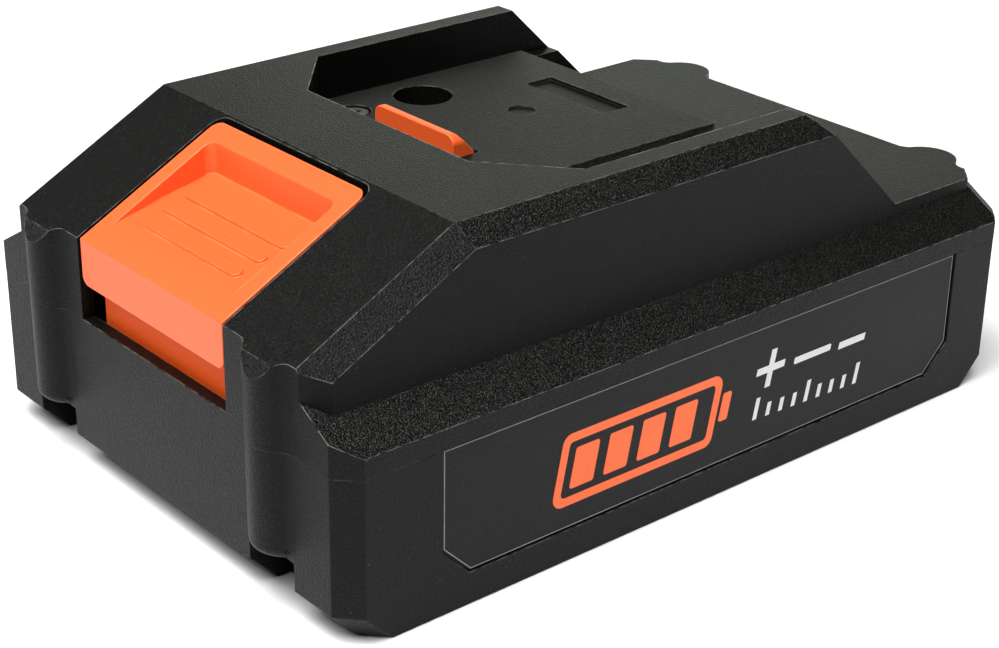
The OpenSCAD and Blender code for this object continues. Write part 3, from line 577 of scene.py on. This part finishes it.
@dataclass(frozen=True)
class CellFoam(Finish):
    """Closed-cell foam with small round pores."""

    colour: Colour
    pore: Colour

    def paint(self, graph: Graph) -> None:
        """Pores of two sizes.

        Args:
            graph: The nodes of the material.
        """
        open_pore = 1 - graph.cells(0.55).rise(0.12, 0.4)
        fine = graph.cells(0.25)
        graph.set(
            Base_Color=graph.mix(open_pore * 0.7 + fine * 0.2, self.colour, self.pore),
            Roughness=0.85 + fine * 0.1,
            Normal=graph.bump(fine * 0.4 - open_pore * 0.6, 0.7, 0.08),
        )


@dataclass(frozen=True)
class BoardMask(Finish):
    """A circuit board: lacquer over copper tracks, and glass weave on the cut edges."""

    lacquer: Colour
    track: Colour
    cut: Colour

    def paint(self, graph: Graph) -> None:
        """Tracks run in two directions under the lacquer, in patches.

        Args:
            graph: The nodes of the material.
        """
        patch = graph.noise(9.0, 0.0).rise(0.49, 0.51)
        rows = graph.axis("X").wave(1.6 * MM).rise(0.1, 0.3)
        files = graph.axis("Y").wave(1.9 * MM).rise(0.1, 0.3)
        tracks = rows * patch + files * (1 - patch)
        rim = 1 - abs(graph.facing("Z")).rise(0.4, 0.8)
        top = graph.mix(tracks, self.lacquer, self.track)
        graph.set(
            Base_Color=graph.mix(rim, top, self.cut),
            Roughness=0.28 + rim * 0.4 + graph.noise(0.6) * 0.1,
            Normal=graph.bump(tracks, 0.5, 0.03),
        )


@dataclass(frozen=True)
class ChipCase(Finish):
    """A moulded component: a matt case and tinned legs beyond it along Y."""

    middle: float
    half: float
    case: Colour = (0.018, 0.018, 0.02)
    grit: Colour = (0.06, 0.06, 0.06)
    tin: Colour = (0.72, 0.72, 0.70)

    BLUR: ClassVar[float] = 0.02

    def paint(self, graph: Graph) -> None:
        """What lies beyond the case's half length is metal.

        Args:
            graph: The nodes of the material.
        """
        away = abs(graph.axis("Y") - self.middle * MM)
        leg = away.rise((self.half - self.BLUR) * MM, (self.half + self.BLUR) * MM)
        speck = graph.noise(0.12, 2.0)
        case = graph.mix(speck.rise(0.5, 0.8) * 0.5, self.case, self.grit)
        graph.set(
            Base_Color=graph.mix(leg, case, self.tin),
            Metallic=leg,
            Roughness=0.62 + speck * 0.15 - leg * 0.35,
            Normal=graph.bump(speck, 0.3, 0.02),
        )


@dataclass(frozen=True)
class StudioPaper(Finish):
    """The seamless paper that the pack stands on."""

    colour: Colour
    shade: Colour

    def paint(self, graph: Graph) -> None:
        """A faint tooth and faint clouding.

        Args:
            graph: The nodes of the material.
        """
        tooth = graph.noise(0.8, 3.0)
        cloud = graph.noise(120.0, 2.0)
        graph.set(
            Base_Color=graph.mix(cloud * 0.5 + tooth * 0.2, self.colour, self.shade),
            Roughness=0.85 + tooth * 0.1,
            Normal=graph.bump(tooth, 0.1, 0.05),
            Specular_IOR_Level=0.2,
        )


class Outline:
    """Flat outlines for print, in millimetres."""

    @staticmethod
    def rounded(corners: Sequence[Point], radius: float, steps: int = 5) -> list[Point]:
        """Rounds the corners of a polygon.

        Args:
            corners: Its corners in order.
            radius: The radius of the rounds.
            steps: The points on each round, less one.

        Returns:
            The rounded outline.
        """
        rounded: list[Point] = []
        for i, corner in enumerate(corners):
            here = Vector(corner)
            back = (Vector(corners[i - 1]) - here).normalized()
            ahead = (Vector(corners[(i + 1) % len(corners)]) - here).normalized()
            half = math.acos(max(-1.0, min(1.0, back.dot(ahead)))) / 2
            centre = here + (back + ahead).normalized() * (radius / math.sin(half))
            start = here + back * (radius / math.tan(half)) - centre
            end = here + ahead * (radius / math.tan(half)) - centre
            for step in range(steps + 1):
                arm = start.lerp(end, step / steps).normalized() * radius
                rounded.append(tuple(centre + arm))
        return rounded

    @staticmethod
    def slanted(y0: float, y1: float, z0: float, z1: float, lean: float) -> list[Point]:
        """A bar from (y0, z0) to (y1, z1) whose top leans towards +Y."""
        return [(y0, z0), (y1, z0), (y1 + lean, z1), (y0 + lean, z1)]

    @staticmethod
    def plus(y: float, z: float, size: float, thick: float, lean: float) -> list[Point]:
        """Draws a plus sign that leans like the bars.

        Args:
            y: Its middle along Y.
            z: Its middle along Z.
            size: The length of its arms from end to end.
            thick: The width of its arms.
            lean: How far its top leans towards +Y against its foot.

        Returns:
            Its outline.
        """
        a, b = size / 2, thick / 2
        corners = [
            (b, b), (b, a), (-b, a), (-b, b), (-a, b), (-a, -b),
            (-b, -b), (-b, -a), (b, -a), (b, -b), (a, -b), (a, b),
        ]
        return [(y + p + lean * q / size, z + q) for p, q in corners]


class Workshop:
    """Ways of making and dressing pieces that the sub-assemblies share."""

    WELD_GAP: ClassVar[float] = 0.03
    FLAT_ANGLE: ClassVar[float] = 0.3
    EDGE_ANGLE: ClassVar[float] = 17.0
    FACE_WEIGHT: ClassVar[int] = 90

    @staticmethod
    def piece(
        name: str, mesh: bmesh.types.BMesh, finish: Finish, body: Body, slot: str
    ) -> bpy.types.Object:
        """Makes a piece from a mesh.

        Args:
            name: The piece's name.
            mesh: Its mesh in the pack's frame, which is used up.
            finish: Its finish.
            body: What it rides on.
            slot: Not used.

        Returns:
            The piece.
        """
        bmesh.ops.recalc_face_normals(mesh, faces=mesh.faces)
        data = bpy.data.meshes.new(name)
        mesh.to_mesh(data)
        mesh.free()
        data.materials.append(finish.material())
        made = bpy.data.objects.new(name, data)
        bpy.context.scene.collection.objects.link(made)
        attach(made, body.value)
        LOG.info("made %s in %s, riding on %s", name, finish.name, body.value)
        return made

    @classmethod
    def dress(cls, node: str, finish: Finish, edge: float = 0.0, segments: int = 2) -> None:
        """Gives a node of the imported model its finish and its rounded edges.

        Args:
            node: The node's name.
            finish: Its finish.
            edge: The width of its rounded edges in millimetres, or 0 for none.
            segments: The facets of each rounded edge.
        """
        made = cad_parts[node]
        for slot in made.material_slots:
            slot.material = finish.material()
        if edge:
            weld = made.modifiers.new("weld", "WELD")
            weld.merge_threshold = cls.WELD_GAP * MM
            flat = made.modifiers.new("flat", "DECIMATE")
            flat.decimate_type = "DISSOLVE"
            flat.angle_limit = math.radians(cls.FLAT_ANGLE)
            soft = made.modifiers.new("soft", "BEVEL")
            soft.width = edge * MM
            soft.segments = segments
            soft.limit_method = "ANGLE"
            soft.angle_limit = math.radians(cls.EDGE_ANGLE)
            soft.miter_outer = "MITER_ARC"
            soft.use_clamp_overlap = False
            even = made.modifiers.new("even", "WEIGHTED_NORMAL")
            even.keep_sharp = False
            even.weight = cls.FACE_WEIGHT
        LOG.info("dressed %s in %s", node, finish.name)

    @staticmethod
    def shade_smooth(piece: bpy.types.Object, angle: float) -> None:
        """Smooths a piece's faces, and keeps edges sharper than an angle in degrees."""
        piece.data.shade_smooth()
        piece.data.set_sharp_from_angle(angle=math.radians(angle))


@dataclass
class Housing:
    """The tub, the lid and the cover on the platform between the rails."""

    edge: float = 0.14
    plate_edge: float = 0.12
    black: Colour = (0.0037, 0.0038, 0.0025)
    shade: Colour = (0.0005, 0.0005, 0.0004)
    # Pale colour for wear and dust, and for the painted glints and painted edge highlights.
    wear_dust_and_sheen: Colour = (0.16, 0.16, 0.15)

    def dress(self) -> None:
        """Gives each moulding its own grain."""
        tub = MouldedPlastic(
            "tub_plastic", self.black, self.shade, self.wear_dust_and_sheen,
            grain=0.28, depth=0.045, on_slants=0.9, on_flats=0.7, on_walls=0.6,
            rough=(0.36, 0.50), rub_and_sheen=0.6,
        )
        lid = MouldedPlastic(
            "lid_plastic", self.black, self.shade, self.wear_dust_and_sheen,
            grain=0.26, depth=0.07, on_slants=1.0, on_flats=0.7, on_walls=0.6,
            rough=(0.34, 0.50), rub_and_sheen=0.9, soft=self.edge,
        )
        plate = MouldedPlastic(
            "plate_plastic", self.black, self.shade, self.wear_dust_and_sheen,
            grain=0.26, depth=0.055, on_slants=0.6, on_flats=0.8, on_walls=0.4,
            rough=(0.38, 0.52), rub_and_sheen=0.5, painted_glint=0.3,
        )
        Workshop.dress("lower_housing", tub, self.edge)
        Workshop.dress("upper_housing", lid)
        Workshop.dress("rail_plate", plate, self.plate_edge)


@dataclass
class ReleaseLatch:
    """The orange button with its arm and hook, and the two springs under it.

    Lengths are in millimetres. A closed turn rises by lay times the wire's thickness.
    """

    edge: float = 0.16
    orange: Colour = (0.92, 0.130, 0.022)
    deep: Colour = (0.88, 0.112, 0.018)
    # Pale colour for rubbing, and for the painted glints and painted highlights in inner corners.
    pale: Colour = (0.96, 0.23, 0.07)
    # The darker colour of the painted shade under the lip.
    under_lip_shade: Colour = (0.80, 0.10, 0.012)
    lip_z: float = 26.1
    spring_turns: float = 7.0
    closed_turns: float = 1.0
    wire: float = 0.7
    lay: float = 1.04
    sides: int = 12
    per_turn: int = 32
    smooth_angle: float = 40.0
    travel: float = 4.2

    def dress(self) -> None:
        """Gives the button its satin plastic, with painted shade below the lip."""
        satin = MouldedPlastic(
            "latch_plastic", self.orange, self.deep, self.pale,
            grain=0.22, depth=0.012, on_slants=0.5, on_flats=0.5, on_walls=0.35,
            rough=(0.36, 0.50), rub_and_sheen=0.5, painted_glint=0.05, shine=0.1, coat=0.8,
            crease=0.4, foot=self.lip_z, painted_shade_colour=self.under_lip_shade,
        )
        Workshop.dress("release_latch", satin, self.edge, segments=3)

    def height(self, turn: float, pitch: float) -> float:
        """The rise of the wire's middle after some turns.

        Args:
            turn: The turns from the lower end.
            pitch: The rise of one open turn.

        Returns:
            The rise in millimetres, with closed turns at both ends.
        """
        tight = self.wire * self.lay
        last_open = self.spring_turns - self.closed_turns
        low = min(turn, self.closed_turns) * tight
        open_part = max(0.0, min(turn, last_open) - self.closed_turns) * pitch
        high = max(0.0, turn - last_open) * tight
        return low + open_part + high

    def build_spring(self, side: Side) -> bpy.types.Object:
        """Winds one spring in the place of its node.

        Args:
            side: Which spring.

        Returns:
            The spring.
        """
        node = f"latch_spring_{side.word}"
        low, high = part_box(node)
        middle = (low + high) / 2
        radius = (high.x - low.x) / 2 - self.wire / 2 * MM
        rise = (high.z - low.z) / MM - self.wire
        closed = 2 * self.closed_turns
        pitch = (rise - closed * self.wire * self.lay) / (self.spring_turns - closed)
        mesh = bmesh.new()
        rings = []
        count = int(self.spring_turns * self.per_turn)
        for i in range(count + 1):
            turn = i / self.per_turn
            angle = 2 * math.pi * turn
            lift = low.z + (self.wire / 2 + self.height(turn, pitch)) * MM
            ring = []
            for k in range(self.sides):
                tilt = 2 * math.pi * k / self.sides
                reach = radius + self.wire / 2 * MM * math.cos(tilt)
                z = lift + self.wire / 2 * MM * math.sin(tilt)
                place = (middle.x + reach * math.cos(angle), middle.y + reach * math.sin(angle), z)
                ring.append(mesh.verts.new(place))
            rings.append(ring)
        for first, second in zip(rings, rings[1:]):
            for k in range(self.sides):
                n = (k + 1) % self.sides
                mesh.faces.new((first[k], first[n], second[n], second[k]))
        mesh.faces.new(rings[0])
        mesh.faces.new(list(reversed(rings[-1])))
        steel = Metal("spring_wire", (0.56, 0.56, 0.57), (0.34, 0.33, 0.32), lines=(1.0, 1.0, 0.2))
        made = Workshop.piece(f"coil_{side.word}", mesh, steel, Body.PACK, "spring_steel")
        Workshop.shade_smooth(made, self.smooth_angle)
        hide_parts(node)
        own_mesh(made)
        return made


@dataclass
class SideLabel:
    """The film in the recess of the right side, with a plain printed battery sign.

    Lengths are in millimetres. A dash is given by its two ends along Y, its foot and its top.
    """

    film_x: float = 37.75
    ink_t: float = 0.02
    sink: float = 0.01
    lean: float = 1.9
    sign_y: Span = (-26.0, 0.2)
    sign_z: Span = (7.4, 16.8)
    line: float = 1.15
    frame_r: Span = (1.4, 0.6)
    cap_y: Span = (0.55, 2.1)
    cap_inset: float = 0.3
    bars: int = 4
    bar_gap: float = 0.95
    bar_in: float = 1.2
    bar_share: float = 0.7
    bar_r: float = 0.35
    plus_at: Point = (10.4, 14.9)
    plus_size: float = 5.0
    plus_thick: float = 0.95
    plus_lean: float = 1.0
    minus: tuple[float, float, float, float] = (23.0, 28.0, 13.6, 14.55)
    dash: tuple[float, float, float, float] = (14.6, 21.4, 14.05, 14.95)
    dash_lean: float = 0.2
    dash_r: float = 0.2
    ticks: int = 9
    tick_at: Point = (7.6, 8.4)
    tick_w: float = 0.7
    tick_step: float = 2.35
    tick_fall: float = 0.045
    tick_slope: float = 0.2
    tick_long: float = 2.9
    tick_short: float = 1.8
    long_every: int = 4
    orange: Colour = (0.92, 0.13, 0.014)
    white: Colour = (0.69, 0.70, 0.69)

    def dress(self) -> None:
        """Gives the film its finish."""
        film = LabelFilm(
            "label_film", (0.003, 0.003, 0.0032), (0.04, 0.04, 0.041), (0.30, 0.30, 0.30)
        )
        Workshop.dress("side_label", film)

    def _flat(
        self,
        mesh: bmesh.types.BMesh,
        outline: Sequence[Point],
        hole: Sequence[Point] | None = None,
    ) -> None:
        """Adds one thin raised print to a mesh.

        Args:
            mesh: The mesh.
            outline: Its outline in (y, z), millimetres.
            hole: An inner outline with as many points, if it is a frame.
        """
        top, foot = (self.film_x + self.ink_t) * MM, (self.film_x - self.sink) * MM
        loops = [
            [mesh.verts.new((x, y * MM, z * MM)) for y, z in points]
            for points in ([outline] if hole is None else [outline, hole])
            for x in (top, foot)
        ]
        for upper, lower in zip(loops[::2], loops[1::2]):
            for i in range(len(upper)):
                mesh.faces.new((upper[i - 1], upper[i], lower[i], lower[i - 1]))
        if hole is None:
            mesh.faces.new(loops[0])
            mesh.faces.new(loops[1])
            return
        for outer, inner in ((loops[0], loops[2]), (loops[1], loops[3])):
            for i in range(len(outer)):
                mesh.faces.new((outer[i - 1], outer[i], inner[i], inner[i - 1]))

    def build_sign(self) -> bpy.types.Object:
        """Prints a battery outline with charge bars.

        Returns:
            The orange print.
        """
        mesh = bmesh.new()
        (y0, y1), (z0, z1) = self.sign_y, self.sign_z
        tall = z1 - z0
        slope = self.lean / tall
        gap = self.line
        shift = slope * gap
        outer = Outline.slanted(y0, y1, z0, z1, self.lean)
        inner = Outline.slanted(
            y0 + gap + shift, y1 - gap + shift, z0 + gap, z1 - gap, self.lean - 2 * shift
        )
        outer_r, inner_r = self.frame_r
        self._flat(mesh, Outline.rounded(outer, outer_r), Outline.rounded(inner, inner_r))
        inset = tall * self.cap_inset
        near, far = (y1 + y + slope * inset for y in self.cap_y)
        cap = Outline.slanted(near, far, z0 + inset, z1 - inset, slope * (tall - 2 * inset))
        self._flat(mesh, Outline.rounded(cap, self.bar_r))
        foot, top = z0 + gap + self.bar_gap, z1 - gap - self.bar_gap
        start = y0 + gap + self.bar_in + slope * (foot - z0)
        room = (y1 - y0 - 2 * (gap + self.bar_in)) / self.bars
        for i in range(self.bars):
            left = start + i * room
            right = left + room * self.bar_share
            bar = Outline.slanted(left, right, foot, top, slope * (top - foot))
            self._flat(mesh, Outline.rounded(bar, self.bar_r))
        ink = PrintInk("orange_ink", self.orange, (0.45, 0.075, 0.02))
        return Workshop.piece("label_battery_sign", mesh, ink, Body.PACK, "label")

    def build_poles(self) -> bpy.types.Object:
        """Prints the pole signs and a row of ticks under them.

        Returns:
            The white print.
        """
        mesh = bmesh.new()
        plus = Outline.plus(*self.plus_at, self.plus_size, self.plus_thick, self.plus_lean)
        dash = Outline.slanted(*self.dash, self.dash_lean)
        self._flat(mesh, plus)
        self._flat(mesh, Outline.slanted(*self.minus, self.dash_lean))
        self._flat(mesh, Outline.rounded(dash, self.dash_r))
        first, foot = self.tick_at
        for i in range(self.ticks):
            along = i * self.tick_step
            y, z = first + along, foot - along * self.tick_fall
            tall = self.tick_short if i % self.long_every else self.tick_long
            tick = Outline.slanted(y, y + self.tick_w, z, z + tall, self.tick_slope * tall)
            self._flat(mesh, tick)
        ink = PrintInk("white_ink", self.white, (0.35, 0.35, 0.36))
        return Workshop.piece("label_pole_signs", mesh, ink, Body.PACK, "label")


@dataclass
class Fasteners:
    """The screws of the housing, the cover and the board."""

    edge: float = 0.08

    def dress(self) -> None:
        """Blackened screws outside, bright ones on the board."""
        black = Metal(
            "blackened_steel", (0.07, 0.07, 0.073), (0.03, 0.03, 0.03),
            lines=(1.0, 1.0, 0.2), rough=(0.30, 0.48),
        )
        bright = Metal("zinc_steel", (0.60, 0.60, 0.61), (0.40, 0.39, 0.36), lines=(1.0, 1.0, 0.2))
        Workshop.dress("rail_plate_screws", black, self.edge)
        Workshop.dress("housing_screws", black, self.edge)
        Workshop.dress("board_screws", bright, self.edge)


@dataclass
class CellPack:
    """The cells in their carrier, with their strips, sheets and pads, in millimetres."""

    cells: int = 5
    links: int = 4
    cell_edge: float = 0.25
    strip_edge: float = 0.04
    carrier_edge: float = 0.15
    sheet_edge: float = 0.03
    pad_rim: float = 0.35
    pad_smooth: float = 60.0
    pad_round: float = 1.1
    pad_pull: float = 0.5
    pad_grid: tuple[int, int] = (72, 18)

    def dress(self) -> None:
        """Gives the rigid pieces their finishes."""
        sleeve = CellSleeve(
            "cell_sleeve", (0.035, 0.15, 0.36), (0.06, 0.22, 0.46), (0.62, 0.62, 0.60)
        )
        for i in range(1, self.cells + 1):
            Workshop.dress(f"cell_{i}", sleeve, self.cell_edge)
        nickel = Metal(
            "nickel_strip", (0.66, 0.64, 0.60), (0.46, 0.43, 0.38), lines=(1.0, 0.06, 1.0)
        )
        links = [f"link_strip_{i}" for i in range(1, self.links + 1)]
        for name in ["negative_strip", "positive_strip", *links]:
            Workshop.dress(name, nickel, self.strip_edge)
        green = MouldedPlastic(
            "carrier_plastic", (0.022, 0.045, 0.034), (0.016, 0.034, 0.026), (0.07, 0.10, 0.085),
            grain=0.4, depth=0.02,
        )
        paper = FibreSheet("insulating_sheet", (0.72, 0.66, 0.50), (0.58, 0.51, 0.36))
        for side in Side:
            Workshop.dress(f"cell_carrier_{side.word}", green, self.carrier_edge)
            Workshop.dress(f"insulator_{side.word}", paper, self.sheet_edge)

    def build_pad(self, side: Side) -> bpy.types.Object:
        """Makes one foam pad in the place of its node.

        Args:
            side: Which pad.

        Returns:
            The pad: flat where it is pressed, round at its rim, with long sides that pull in.
        """
        node = f"foam_pad_{side.word}"
        low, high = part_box(node)
        middle, half = (low + high) / 2, (high - low) / 2
        across, up = self.pad_grid
        curl = self.pad_round * MM
        mesh = bmesh.new()
        faces: list[list[list[bmesh.types.BMVert]]] = []
        for sign in (-1, 1):
            grid = []
            for i in range(across + 1):
                u = math.sin(math.pi / 2 * (2 * i / across - 1))
                column = []
                for j in range(up + 1):
                    v = math.sin(math.pi / 2 * (2 * j / up - 1))
                    y = u * (half.y - self.pad_pull * MM * (1 - v * v))
                    z = v * (half.z - self.pad_pull * MM * (1 - u ** 4))
                    rim = min(half.y * (1 - abs(u)), half.z * (1 - abs(v)))
                    fill = math.sqrt(max(0.0, 1 - (1 - min(rim / curl, 1.0)) ** 2))
                    x = sign * half.x * (self.pad_rim + (1 - self.pad_rim) * fill)
                    column.append(mesh.verts.new((middle.x + x, middle.y + y, middle.z + z)))
                grid.append(column)
            faces.append(grid)
            for i in range(across):
                for j in range(up):
                    mesh.faces.new((grid[i][j], grid[i + 1][j], grid[i + 1][j + 1], grid[i][j + 1]))
        loops = [
            [g[i][0] for i in range(across)]
            + [g[across][j] for j in range(up)]
            + [g[i][up] for i in range(across, 0, -1)]
            + [g[0][j] for j in range(up, 0, -1)]
            for g in faces
        ]
        for k in range(len(loops[0])):
            mesh.faces.new((loops[0][k - 1], loops[0][k], loops[1][k], loops[1][k - 1]))
        foam = CellFoam("pad_foam", (0.055, 0.058, 0.065), (0.02, 0.021, 0.024))
        made = Workshop.piece(f"pad_{side.word}", mesh, foam, Body.PACK, "foam")
        Workshop.shade_smooth(made, self.pad_smooth)
        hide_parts(node)
        return made


@dataclass
class Electronics:
    """The protection board with its components, and the contacts behind the slots."""

    edge: float = 0.08
    board_edge: float = 0.05
    block_edge: float = 0.12
    contact_edge: float = 0.05

    def dress(self) -> None:
        """Gives the board, the components and the contacts their finishes."""
        board = BoardMask(
            "board_lacquer", (0.012, 0.10, 0.045), (0.03, 0.19, 0.075), (0.42, 0.40, 0.24)
        )
        Workshop.dress("protection_board", board, self.board_edge)
        bead = (0.03, 0.035, 0.05)
        cases = {
            "power_transistors": ChipCase("transistor_case", middle=-6.0, half=3.05),
            "control_chip": ChipCase("controller_case", middle=-26.0, half=2.0),
            "shunt_resistor": ChipCase("shunt_case", middle=25.6, half=3.0),
            "thermistor": ChipCase("sensor_bead", middle=0.0, half=9.0, case=bead),
        }
        for node, case in cases.items():
            Workshop.dress(node, case, self.edge)
        block = MouldedPlastic(
            "block_plastic", (0.016, 0.0165, 0.018), (0.011, 0.0115, 0.0125), (0.06, 0.06, 0.06),
            grain=0.3, depth=0.015,
        )
        Workshop.dress("terminal_block", block, self.block_edge)
        brass = Metal(
            "contact_brass", (0.78, 0.53, 0.23), (0.50, 0.31, 0.13), lines=(1.0, 0.06, 1.0)
        )
        for name in ("positive_terminal", "negative_terminal", "signal_terminals"):
            Workshop.dress(name, brass, self.contact_edge)


@dataclass(frozen=True)
class Softbox:
    """One soft lamp of the studio."""

    name: str
    place: Place
    size: Span
    power: float
    tint: Colour = (1.0, 1.0, 1.0)
    aim: Place = (0.0, 0.0, 0.02)

    def build(self) -> None:
        """Hangs the lamp and turns it to its aim."""
        lamp = bpy.data.lights.new(self.name, "AREA")
        lamp.shape = "RECTANGLE"
        lamp.size, lamp.size_y = self.size
        lamp.energy = self.power
        lamp.color = self.tint
        made = bpy.data.objects.new(self.name, lamp)
        made.location = self.place
        towards = Vector(self.aim) - Vector(self.place)
        made.rotation_euler = towards.to_track_quat("-Z", "Y").to_euler()
        made.visible_camera = False
        bpy.context.scene.collection.objects.link(made)
        LOG.info("hung %s", self.name)


@dataclass
class Studio:
    """The floor, the lamps, the surroundings and the camera, with places in metres."""

    floor_half: float = 4.0
    floor_drop: float = 0.00005
    floor_cells: int = 8
    paper: Colour = (0.90, 0.90, 0.90)
    paper_shade: Colour = (0.86, 0.86, 0.86)
    eye: Place = (0.195715, -0.170004, 0.13214)
    right: Place = (0.6353, 0.77223, 0.00769)
    up: Place = (-0.32994, 0.2624, 0.9068)
    back: Place = (0.69824, -0.57862, 0.42149)
    lens: float = 76.45
    sensor: float = 36.0
    shift: Span = (0.03428, -0.01126)
    clip: Span = (0.01, 20.0)
    walls: Colour = (0.01, 0.01, 0.01)
    lamps: list[Softbox] = field(
        default_factory=lambda: [
            Softbox("top_lamp", (0.424, -0.424, 1.483), (0.9, 0.9), 27.0),
            Softbox("front_lamp", (-0.15, -0.6, 1.05), (0.7, 0.7), 12.5),
            Softbox("rear_lamp", (-1.107, 1.107, 0.333), (0.9, 0.5), 3.25, (0.95, 1.0, 0.87)),
            Softbox("left_lamp", (-1.226, 0.0, 1.028), (0.9, 0.9), 0.8),
            Softbox("right_lamp", (1.1, -0.2, 0.9), (0.7, 0.7), 2.5),
        ]
    )

    def build_floor(self) -> None:
        """Lays the paper just under the pack's feet."""
        mesh = bmesh.new()
        cells = self.floor_cells
        bmesh.ops.create_grid(mesh, x_segments=cells, y_segments=cells, size=self.floor_half)
        bmesh.ops.translate(mesh, verts=mesh.verts, vec=(0.0, 0.0, -self.floor_drop))
        data = bpy.data.meshes.new("studio_floor")
        mesh.to_mesh(data)
        mesh.free()
        paper = StudioPaper("studio_paper", self.paper, self.paper_shade)
        data.materials.append(paper.material())
        floor = bpy.data.objects.new("studio_floor", data)
        bpy.context.scene.collection.objects.link(floor)

    def build_light(self) -> None:
        """Hangs the lamps inside dark walls."""
        for lamp in self.lamps:
            lamp.build()
        world = bpy.data.worlds.new("studio_walls")
        world.use_nodes = True
        bpy.context.scene.world = world
        graph = Graph(world.node_tree, world.node_tree.nodes["Background"])
        graph.set(Color=self.walls, Strength=1.0)

    def build_camera(self) -> None:
        """Sets the camera where the photograph was taken from."""
        lens = bpy.data.cameras.new("studio_camera")
        lens.sensor_fit = "HORIZONTAL"
        lens.sensor_width = self.sensor
        lens.lens = self.lens
        lens.shift_x, lens.shift_y = self.shift
        lens.clip_start, lens.clip_end = self.clip
        camera = bpy.data.objects.new("studio_camera", lens)
        turn = Matrix((self.right, self.up, self.back)).transposed().to_4x4()
        camera.matrix_world = Matrix.Translation(self.eye) @ turn
        bpy.context.scene.collection.objects.link(camera)
        bpy.context.scene.camera = camera
        bpy.context.scene.view_settings.view_transform = "Standard"


def main() -> None:
    """Builds the studio, then dresses the pack from the outside in."""
    logging.basicConfig(level=logging.INFO, format="%(message)s")
    studio = Studio()
    studio.build_camera()
    studio.build_floor()
    studio.build_light()
    Housing().dress()
    latch = ReleaseLatch()
    latch.dress()
    label = SideLabel()
    label.dress()
    label.build_sign()
    label.build_poles()
    Fasteners().dress()
    pack = CellPack()
    pack.dress()
    Electronics().dress()
    for side in Side:
        latch.build_spring(side)
        pack.build_pad(side)


if __name__ == "__main__":
    main()
